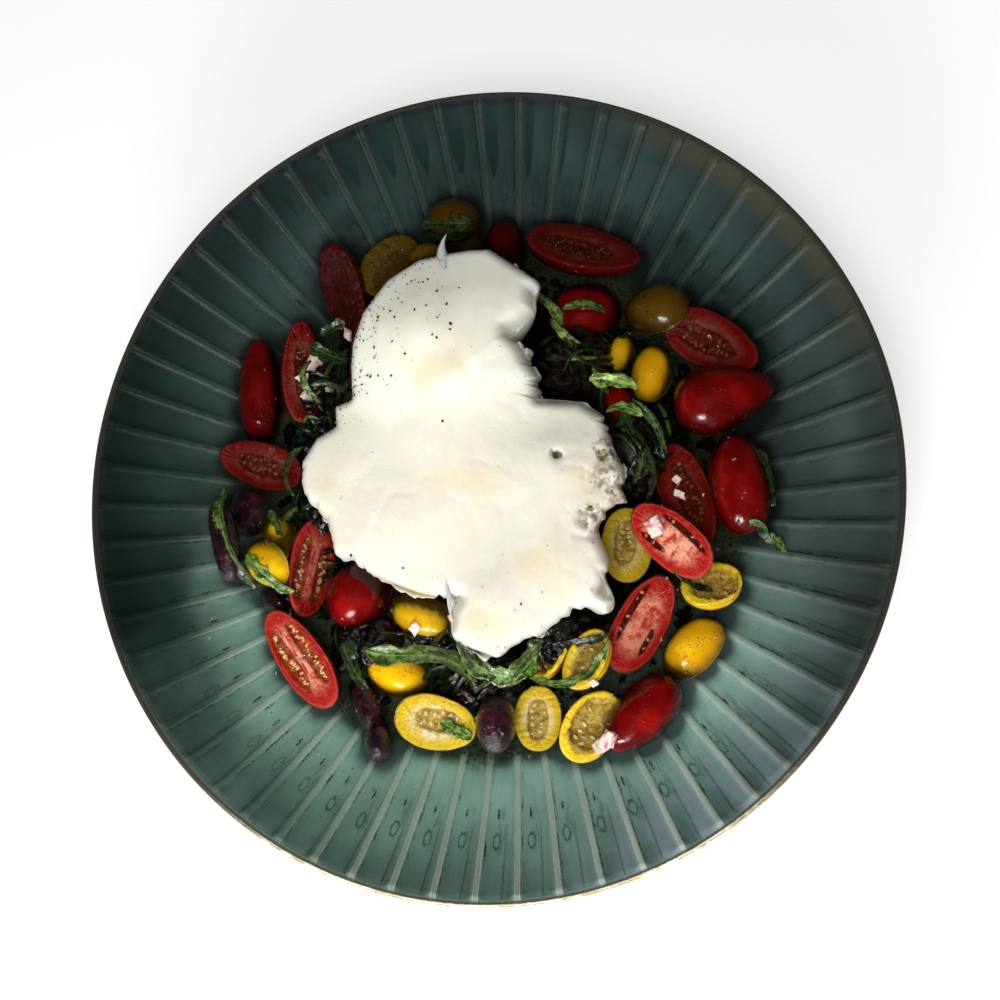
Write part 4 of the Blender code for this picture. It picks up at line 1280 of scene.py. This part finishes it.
def leaf_finish():
    """Basil: deep green, paler along its veins and underside, glossy with oil. The light mark sets
    each strip and shred between near-black and bright green, partly its own tone and partly painted
    shade. Dark bands along folds and the darkening deep among neighbours are painted shade too.
    """
    made = Finish("basil_leaf", 0.25, Coat_Weight=1.0, Coat_Roughness=0.07)
    light, u, share = made.mark("light"), made.mark("across"), made.mark("along")
    veins = made.maths("SINE", share * 34.0 + abs(u) * 6.0).step(0.5, 0.95)
    mottle = made.noise(2.2, 4, 0.65)
    dark = made.mix(mottle.step(0.35, 0.7), (0.0012, 0.0035, 0.0010), (0.006, 0.022, 0.003))
    bright = made.mix(mottle.step(0.4, 0.6), (0.050, 0.150, 0.012), (0.34, 0.50, 0.10))
    colour = made.mix(made.maths("POWER", light, 1.6), dark, bright)
    # Dark bands along noise folds: painted shade in creases that the mesh does not have
    folds = made.noise_at(3.0, share * 3.5, u * 1.6, light * 37.0)
    colour = made.mix(folds.step(0.50, 0.42) * 0.7, colour, (0.002, 0.007, 0.002))
    lines = (abs(u).step(0.14, 0.04) | veins * 0.3) * light
    colour = made.mix(lines * 0.4, colour, (0.50, 0.62, 0.22))
    # Darker with painted shade where it lies deep among its neighbours
    made.colour(made.crevice_shaded(colour, (0.0015, 0.003, 0.0012)))
    made.roughness(mottle.step(0.3, 0.7, 0.22, 0.42))
    made.bump(veins * 0.12 + mottle + made.noise(1.3, 3, 0.6), 0.5 * MM, 0.8)
    return made.material


def dark_shreds(relief, leaf):
    """Shreds of dark leaf in the gaps: bent paths over the filling, kept where the gap is open."""
    random = np.random.default_rng(71)
    count, steps = 900, 9
    turn = random.uniform(0, ROUND, count)
    radius = np.sqrt(random.uniform(0.12, 1, count)) * BED_R * 1.02
    middle = np.stack([radius * np.cos(turn), radius * np.sin(turn)], -1)
    floor = np.maximum(bed_top(*middle.T) - 3 * MM, wall_z(radius))
    middle = middle[relief.at(*middle.T) < floor + 6 * MM]
    count = len(middle)
    heading = random.uniform(0, ROUND, count)[:, None]
    bend = random.uniform(-1.6, 1.6, count)[:, None]
    length = random.uniform(7, 18, count)[:, None] * MM
    t = np.linspace(-0.5, 0.5, steps)
    angle = heading + bend * t
    step = length / (steps - 1)
    x = middle[:, :1] + np.cumsum(np.cos(angle) * step, 1) - length / 2 * np.cos(heading)
    y = middle[:, 1:] + np.cumsum(np.sin(angle) * step, 1) - length / 2 * np.sin(heading)
    ground = np.maximum(bed_top(x, y) - 3.5 * MM, wall_z(np.hypot(x, y)))
    arch = random.uniform(0, 3, (count, 1)) * MM * np.cos(math.pi * t)[None]
    z = ground + 0.8 * MM + arch + random.uniform(0, 3.5, (count, 1)) * MM
    lean = random.uniform(-0.9, 0.9, (count, 1))
    ups = np.stack([lean * -np.sin(angle), lean * np.cos(angle), 1 + 0 * angle], -1)
    taper = np.sin(np.linspace(0.25, math.pi - 0.25, steps)) ** 0.6
    width = random.uniform(1.0, 3.0, (count, 1)) * MM * taper
    curl = random.uniform(-0.5, 0.7, (count, 1)) + 0 * t
    points, faces, marks = ribbons(np.stack([x, y, z], -1), width, ups, 0.16 * MM, curl, across=5)
    # Most shreds near-black: partly dark leaf, partly painted shade down in the gaps
    light = random.choice([0, 0.1, 0.25, 0.5], count, p=[0.6, 0.25, 0.11, 0.04])
    marks["light"] = np.repeat(light, len(points) // count)
    return dress(mesh_piece("dark_basil_shreds", points, faces, leaf, marks), "basil_green")


# Leaf strips laid on the salad: level in mm, width in mm, curl, how light (partly the leaf's own tone,
# partly painted shade), and the path's points
STRIPS = (
    (36, 4.4, 0.5, 0.95, ((34, 36), (42, 36), (50, 33))),
    (36, 3.4, 0.5, 0.85, ((40, 25), (46, 26.5), (52, 24))),
    (34, 3.2, 0.6, 0.5, ((16, 66), (20.5, 61), (24, 55))),
    (34, 3.2, 0.4, 0.4, ((24, 60.5), (30, 62), (38, 59))),
    (34, 2.6, 0.5, 0.65, ((20, 57), (25, 51.5), (30.5, 49))),
    (33, 5.0, 0.3, 0.2, ((-64, 48.5), (-57, 45), (-50, 42.5))),
    (33, 4.2, 0.4, 0.22, ((-60, 52), (-52, 57))),
    (30, 4.6, 0.5, 0.8, ((-80, -25), (-74, -31), (-64, -36.5))),
    (29, 3.0, 0.5, 0.35, ((-75, -9), (-69.5, -17.5))),
    (32, 2.2, 0.4, 0.2, ((-64, 13), (-69, 6), (-66, -4))),
    (31, 6.2, 0.45, 0.65, ((-38, -55), (-28, -57.5), (-16, -55.5), (-6, -60), (0, -65))),
    (33, 6.0, 0.5, 0.75, ((-5, -52), (2.5, -60), (11, -62), (19, -54))),
    (34, 4.0, 0.6, 0.7, ((12, -63), (17, -56), (22, -50))),
    (27, 4.2, 0.6, 0.25, ((-47, -53), (-42, -62), (-37, -68))),
    (32, 3.0, 0.5, 0.7, ((18, -62), (28, -64), (38, -59.5), (43.5, -49))),
    (30, 4.8, 0.4, 0.45, ((-92, -2), (-88, -17), (-78, -36))),
    (23, 5.0, 0.5, 1.0, ((-12, -77.5), (-7.5, -80), (-1.5, -82))),
    (31, 6.0, 0.2, 0.15, ((-27, 93), (-18, 91), (-9, 92))),
    (31, 2.4, 0.3, 0.0, ((-27, 89.5), (-18, 87), (-9, 88.5))),
    (24, 3.2, 0.6, 0.55, ((63, -26), (68.5, -30), (75.5, -31.5))),
    (29, 4.0, 0.3, 0.12, ((88, 15), (92.5, 7), (94.5, -4))),
    (20, 5.4, 0.15, 0.45, ((87, -9), (93.5, -13), (98.5, -18))),
    (34, 3.4, 0.6, 0.12, ((45.5, 27), (51.5, 15), (56.5, 5), (55, -2))),
    (27, 3.0, 0.5, 0.1, ((24, -51), (33, -50), (44, -47))),
    (33, 3.0, 0.5, 0.25, ((45, 20), (52, 12), (50, 3))),
    (33, 2.6, 0.6, 0.3, ((48, 30), (56, 22), (60, 12))),
)
# Diced shallot and coarse pepper: (x, y, size) in mm
SHALLOTS = (
    ((33, 49, 2.0), (57, -12, 4.4), (41.0, -83.5, 3.2), (45.0, -80.5, 4.4), (-65, 43.5, 4.6))
    + ((-62.5, 47, 3.2), (-65.5, 38.5, 5.4), (-62, 37.5, 3.6), (-66, 33, 4.0), (-53, 55, 2.4))
    + ((-47.5, 50, 2.0), (-33, -54, 2.2), (-23, -46.5, 2.6), (-20, -52, 2.4), (-27, -52, 2.0))
    + ((2.5, -66, 2.2), (39, -63, 1.8), (63, 5, 2.2), (64, 0, 2.2), (-8, -44, 1.6), (12, -58, 1.8))
)
PEPPER = (
    ((-15, 61, 0.7), (-8, 62.5, 0.6), (-11, 56, 0.6), (-21.5, 54, 0.6), (-30.5, 54.5, 0.7))
    + ((-28.5, 52, 0.5), (-13.5, 51, 0.5), (-9, 49, 0.7), (-9, 47, 0.5), (-14.5, 45, 0.5))
    + ((-13, 44, 0.7), (-28.5, 43.5, 0.5), (-35.5, 42.5, 0.6), (-23.5, 39, 0.6), (-36.5, 33, 0.8))
    + ((-33.5, 33, 0.6), (-28.5, 32.5, 0.5), (-35, 53, 0.6), (-26, 64.5, 0.6), (-20.5, 65, 0.5))
    + ((-19, 66, 0.6), (-11, 18, 0.8), (-42, -25, 0.7), (-23.5, -29, 0.5), (16, -39.5, 0.5))
)


def smooth_path(rows, steps):
    """A path through 2 to 5 points: each coordinate a polynomial of the way along the points."""
    rows = np.asarray(rows, float)
    way = np.concatenate([[0], np.cumsum(np.linalg.norm(np.diff(rows, axis=0), axis=1))])
    way /= way[-1]
    t = np.linspace(0, 1, steps)
    order = min(len(rows) - 1, 3)
    return np.stack([np.polyval(np.polyfit(way, rows[:, i], order), t) for i in range(2)], -1)


def leaf_strips(relief, leaf):
    """The strips of basil that lie on top, draped: each stays above its level and above what lies
    under it, smoothed along its length. Its width wavers by noise and it twists slowly."""
    random = np.random.default_rng(81)
    steps = 26
    t = np.linspace(0, 1, steps)
    made = []
    for level, width, curl, light, rows in STRIPS:
        path = smooth_path(rows, steps) * MM
        ground = relief.at(path[:, 0], path[:, 1])
        height = np.maximum(ground + 0.5 * MM, (level - 4) * MM)
        for _ in range(3):
            height[1:-1] = (height[:-2] + 2 * height[1:-1] + height[2:]) / 4
        height = np.maximum(height, ground + 0.3 * MM)
        wave = lattice_noise(flat(t * 3, 0 * t), 0.3, random.integers(1000)) * 0.5 * MM
        taper = np.clip(np.minimum(t, 1 - t) * 7, 0.25, 1) ** 0.7
        rough = 1 + 0.28 * lattice_noise(flat(t * 9, 0 * t), 1.0, random.integers(1000))
        lean = random.uniform(-0.5, 0.5) + 0.5 * np.sin(t * random.uniform(2, 5) + random.uniform(0, 6))
        along = unit(np.gradient(path, axis=0))
        up = np.stack([-along[:, 1] * lean, along[:, 0] * lean, 1 + 0 * t], -1)
        spine = np.concatenate([path, (height + wave)[:, None]], -1)
        made.append((spine, width * MM * taper * rough, up, curl * (1 + 0.4 * np.sin(t * 9)), light))
    spines, widths, ups, curls, lights = (np.array(column) for column in zip(*made))
    points, faces, marks = ribbons(spines, widths, ups, 0.2 * MM, curls)
    u, each = marks["across"], len(points) // len(STRIPS)
    local = np.stack([u * 2, marks["along"] * 14, np.repeat(np.arange(len(STRIPS)), each) * 9.0], -1)
    points = points + np.array([0, 0, 1]) * (0.35 * MM * lattice_noise(local, 1.0, 7) * np.abs(u))[:, None]
    marks["light"] = np.repeat(lights, each)
    return dress(mesh_piece("basil_strips", points, faces, leaf, marks), "basil_green")


def turned_axes(random, count):
    """Random right-handed axes, (count, 3, 3), by Gram-Schmidt on normal deviates."""
    first = unit(random.normal(size=(count, 3)))
    second = random.normal(size=(count, 3))
    second = unit(second - first * (first * second).sum(1, keepdims=True))
    return np.stack([first, second, np.cross(first, second)], 1)


def chopped_olives(relief, finish):
    """Bits of olive in the gaps and round the salad's foot: dented lumps on the filling."""
    random = np.random.default_rng(91)
    count = 1700
    turn = random.uniform(0, ROUND, count)
    radius = np.sqrt(random.uniform(0.15, 1, count)) * 79 * MM
    x, y = radius * np.cos(turn), radius * np.sin(turn)
    floor = np.maximum(bed_top(x, y) * (radius < BED_R) - 2.6 * MM, wall_z(radius))
    keep = relief.at(x, y) < floor + 7 * MM
    x, y, floor = x[keep], y[keep], floor[keep]
    count = len(x)
    sizes = random.uniform(0.9, 2.6, (count, 1)) * random.uniform(0.6, 1.2, (count, 3)) * MM
    middles = np.stack([x, y, floor + random.uniform(0.3, 2.2, count) * MM], -1)
    points, faces = many_balls(middles, turned_axes(random, count), sizes, 4, 8, seed=5, dents=0.6)
    flesh = np.repeat(random.choice([0, 0.15, 0.5], count, p=[0.8, 0.15, 0.05]), len(points) // count)
    # dim: these bits lie in the gaps and are darkened with painted shade
    marks = {"flesh": flesh, "dim": 1.0}
    return dress(mesh_piece("chopped_olives", points, faces, finish, marks), "olive_purple")


def shallot_dice(relief):
    """Diced shallot: lumps drawn out to corners, direction over its greatest part to the power
    0.95, laid on what is under them."""
    random = np.random.default_rng(95)
    x, y, size = np.array(SHALLOTS).T * MM
    size = size / 2
    count = len(x)
    rings, cols = 22, 16  # so that a row passes near each corner
    block = ball(rings, cols)
    block = block / np.abs(block).max(-1, keepdims=True) ** 0.95
    shape = random.uniform(0.8, 1.35, (count, 1, 3)) * np.array([1.3, 1.1, 0.55]) * size[:, None, None]
    axes, normal = relief.axes(x, y, random.normal(size=(count, 3)))
    middles = np.stack([x, y, np.maximum(relief.at(x, y), 0)], -1) + normal * size[:, None] * 0.45
    dents = lattice_noise(block[None] + 5.1 * np.arange(count)[:, None, None], 0.9, 14)
    body = block[None] * (1 + 0.22 * dents[..., None])
    body[..., 0] += random.uniform(-0.35, 0.35, (count, 1)) * body[..., 1]
    points, faces = many_lumps(body * shape, axes, middles, rings, cols)
    soft = {"Subsurface_Weight": 0.4, "Subsurface_Scale": 1.0}
    made = Finish("pink_shallot", 0.25, Coat_Weight=0.6, Coat_Roughness=0.06, **soft)
    made.shader.inputs["Subsurface Radius"].default_value = (0.003, 0.002, 0.002)
    layers = made.noise(3.4, 3, 0.6, 0.8)
    made.colour(made.mix(layers.step(0.5, 0.68), (0.80, 0.66, 0.58), (0.56, 0.14, 0.21)))
    made.roughness(made.noise(1.5, 2).step(0.3, 0.7, 0.18, 0.35))
    made.bump(layers, 0.2 * MM, 0.5)
    return dress(mesh_piece("shallot_dice", points, faces, made.material, sharp=50), "shallot_pink")


def cracked_pepper(relief):
    """Cracked pepper: dented grains on the cheese, coarse at their places, fine dust thick along
    the dome's north-west and thin elsewhere."""
    random = np.random.default_rng(97)
    dust, spread = 260, 45
    turn = random.uniform(1.6, 3.5, dust)
    reach = outline_reach(turn) * np.clip(1 - random.exponential(0.11, dust), 0.4, 0.99)
    dust_x, dust_y = on_cheese(reach, turn)
    turn = random.uniform(0, ROUND, spread)
    reach = outline_reach(turn) * np.sqrt(random.uniform(0, 0.97, spread))
    far_x, far_y = on_cheese(reach, turn)
    near_x, near_y, coarse = np.array(PEPPER).T
    x = np.concatenate([near_x * MM, dust_x, far_x])
    y = np.concatenate([near_y * MM, dust_y, far_y])
    fine = random.uniform(0.1, 0.34, dust), random.uniform(0.08, 0.2, spread)
    size = np.concatenate([coarse * 0.75, *fine]) * MM
    middles = np.stack([x, y, relief.at(x, y) + 0.1 * size], -1)
    sizes = size[:, None] * random.uniform(0.6, 1.2, (len(x), 3))
    points, faces = many_balls(middles, turned_axes(random, len(x)), sizes, 3, 6, seed=9, dents=0.4)
    made = Finish("cracked_pepper", 0.6)
    made.colour(made.mix(made.noise(0.8, 2).step(0.4, 0.6), (0.010, 0.008, 0.006), (0.05, 0.035, 0.022)))
    made.roughness(made.noise(0.5, 2).step(0.3, 0.7, 0.5, 0.8))
    made.bump(made.noise(0.3, 3), 0.1 * MM, 0.6)
    return dress(mesh_piece("cracked_pepper", points, faces, made.material), "pepper_black")


def dressing_and_shade_film():
    """Dressing that has run out round the salad: a thin skin over the plate, which swells by
    0.3 mm sqrt(1 - share^4) inside its wandering edge, and fades out there. Its dark, half-clear
    colour is partly the dressing's own and partly painted shade on the plate round the food."""
    rows, cols = 36, 420
    turn = np.linspace(0, ROUND, cols, endpoint=False)[None]
    waver = 4.5 * rough_noise(circle_points(turn), 12 * MM, 44, 3)
    outer = (89 + 4 * np.maximum(0, -np.sin(turn)) + waver) * MM
    share = np.linspace(0, 1, rows)[:, None]
    radius = 55 * MM + (outer - 55 * MM) * share
    x, y = radius * np.cos(turn), radius * np.sin(turn)
    ground = wall_z(radius) + 0.25 * MM
    thick = 0.3 * MM * np.sqrt(np.clip(1 - share**4, 0, 1)) + 0.02 * MM
    top = np.stack([x, y, ground + 0.35 * MM + thick], -1)
    points = np.concatenate([top, np.stack([x, y, ground - 0.3 * MM], -1)[::-1]])
    close = np.arange(cols)
    after = (close + 1) % cols
    last = (len(points) - 1) * cols
    inner_wall = np.stack([close, after, last + after, last + close], -1)
    made = Finish("oil_dressing_and_shade", 0.08, IOR=1.4, Coat_Weight=0.5, Coat_Roughness=0.03)
    specks, cloud, deep = made.specks(1.5, 0.42), made.noise(6, 4, 0.65), made.mark("thick")
    # Dark, half-clear colour: partly the dressing's own, partly painted shade round the food
    made.colour(made.mix(specks, (0.030, 0.036, 0.012), (0.006, 0.006, 0.003)))
    alpha = deep * cloud.step(0.35, 0.65, 0.2, 0.5) | specks * 0.7 * deep
    made.put(made.shader.inputs["Alpha"], alpha)
    made.roughness(cloud.step(0.3, 0.7, 0.05, 0.15))
    made.bump(made.noise(2.2, 3), 0.3 * MM, 0.6)
    fade = smoothstep(1.0, 0.8, share) + 0 * turn
    marks = {"thick": np.concatenate([fade, fade[::-1]]).ravel()}
    faces = [grid_faces(len(points), cols)[:, ::-1], inner_wall]
    return dress(mesh_piece("run_out_dressing_and_shade", points, faces, made.material, marks), "dressing_oil")


def oil_drops(relief):
    """Drops of oil and of the tomatoes' liquid: half-sunk flattened balls standing on the surface
    under them, on the plate round the food and on the pieces themselves."""
    random = np.random.default_rng(99)
    count, strays = 700, 46
    turn = random.uniform(0, ROUND, count)
    radius = np.sqrt(random.uniform(0.1, 1, count)) * 92 * MM
    x, y = radius * np.cos(turn), radius * np.sin(turn)
    dx, dy = x - CHEESE_CENTRE[0], y - CHEESE_CENTRE[1]
    keep = np.hypot(dx, dy) > outline_reach(np.arctan2(dy, dx)) + 1.5 * MM
    turn = random.uniform(3.5, 4.5, strays)
    radius = random.uniform(88, 112, strays) * MM
    x = np.concatenate([x[keep], radius * np.cos(turn)])
    y = np.concatenate([y[keep], radius * np.sin(turn)])
    size = random.uniform(0.2, 0.65, len(x)) ** 1.3 * MM
    axes, normal = relief.axes(x, y, np.array([0.3, 0.9, 0.1]))
    middles = np.stack([x, y, relief.at(x, y)], -1) + normal * 0.1 * MM
    sizes = size[:, None] * np.array([1, 1, 0.6]) * random.uniform(0.8, 1.3, (len(x), 3))
    points, faces = many_balls(middles, axes, sizes, 4, 8, seed=3, dents=0.1)
    made = Finish("oil_drop", 0.02, Transmission_Weight=1.0, IOR=1.35)
    made.colour(made.mix(made.noise(4, 2), (0.95, 0.93, 0.80), (0.98, 0.97, 0.92)))
    made.bump(made.noise(1.0, 2), 0.02 * MM, 0.3)
    return dress(mesh_piece("oil_drops", points, faces, made.material), "dressing_oil")


# Light, floor and camera ----------------------------------------------------------------------


def make_stage():
    """A plain pale floor."""
    size = 1.6
    points = [(-size, -size, 0), (size, -size, 0), (size, size, 0), (-size, size, 0)]
    made = Finish("pale_floor", 0.9, Emission_Color=(1, 0.99, 0.99, 1), Emission_Strength=0.53)
    made.colour(made.mix(made.noise(300, 2), (0.49, 0.487, 0.49), (0.51, 0.507, 0.51)))
    mesh_piece("floor", points, [np.array([[0, 1, 2, 3]])], made.material)


def stand(name, data, right, back, place):
    """An object with its x axis right, its z axis back and its y axis square to both."""
    obj = bpy.data.objects.new(name, data)
    bpy.context.scene.collection.objects.link(obj)
    up = np.cross(back, right)
    rows = [[right[i], up[i], back[i], place[i]] for i in range(3)]
    obj.matrix_world = Matrix([*rows, [0, 0, 0, 1]])
    return obj


def area_light(name, place, target, size, power):
    made = bpy.data.lights.new(name, "AREA")
    made.shape = "RECTANGLE"
    made.size, made.size_y = size
    made.energy = power
    back = unit(np.array(place) - np.array(target))
    return stand(name, made, unit(np.cross((0, 0, 1), back)), back, place)


def make_light():
    """A low window from the south, and soft light overhead that leaves no highlights."""
    area_light("window", (-0.12, -0.95, 0.38), (0, 0, 0.02), (0.42, 0.2), 9)
    overhead = area_light("overhead", (0.05, -0.28, 0.85), (0, 0, 0), (0.6, 0.6), 8.6)
    overhead.visible_glossy = False
    world = bpy.data.worlds.new("studio")
    world.use_nodes = True
    world.node_tree.nodes["Background"].inputs[0].default_value = (1.0, 1.0, 1.0, 1)
    world.node_tree.nodes["Background"].inputs[1].default_value = 0.03
    bpy.context.scene.world = world
    bpy.context.scene.view_settings.view_transform = "Standard"


def make_camera():
    """Steeply down on the plate, a little from the south-east."""
    back = unit(np.array([0.182, -0.156, 0.971]))
    right = np.array([0.983, 0.049, -0.177])
    right = unit(right - back * (right @ back))
    made = bpy.data.cameras.new("camera")
    made.sensor_width = 36
    made.lens = 53.68
    made.clip_start = 0.01
    bpy.context.scene.camera = stand("camera", made, right, back, (0.0952, -0.0812, 0.5071))


def main():
    make_plate()
    make_tomatoes()
    olive = make_olives()
    cheese = make_burrata()
    cheese_strand(cheese)
    shown = bpy.context.scene.objects
    relief = Relief()
    for piece in shown:
        if piece.name.endswith("_piece") or piece.name in ("torn_burrata", "whole_olive"):
            relief.add(piece_points(piece))
    relief.close()
    bed_core()
    leaf = leaf_finish()
    dark_shreds(relief, leaf)
    chopped_olives(relief, olive)
    dressing_and_shade_film()
    leaf_strips(relief, leaf)
    shallot_dice(relief)
    cracked_pepper(relief)
    oil_drops(relief)
    names = ("whole_olive", "glazed_plate", "dark_basil_shreds", "chopped_olives", "basil_strips")
    names += ("chopped_salad_core",)
    buried_marks(relief, [obj for obj in shown if obj.name.endswith("_piece") or obj.name in names])
    make_stage()
    make_light()
    make_camera()


main()
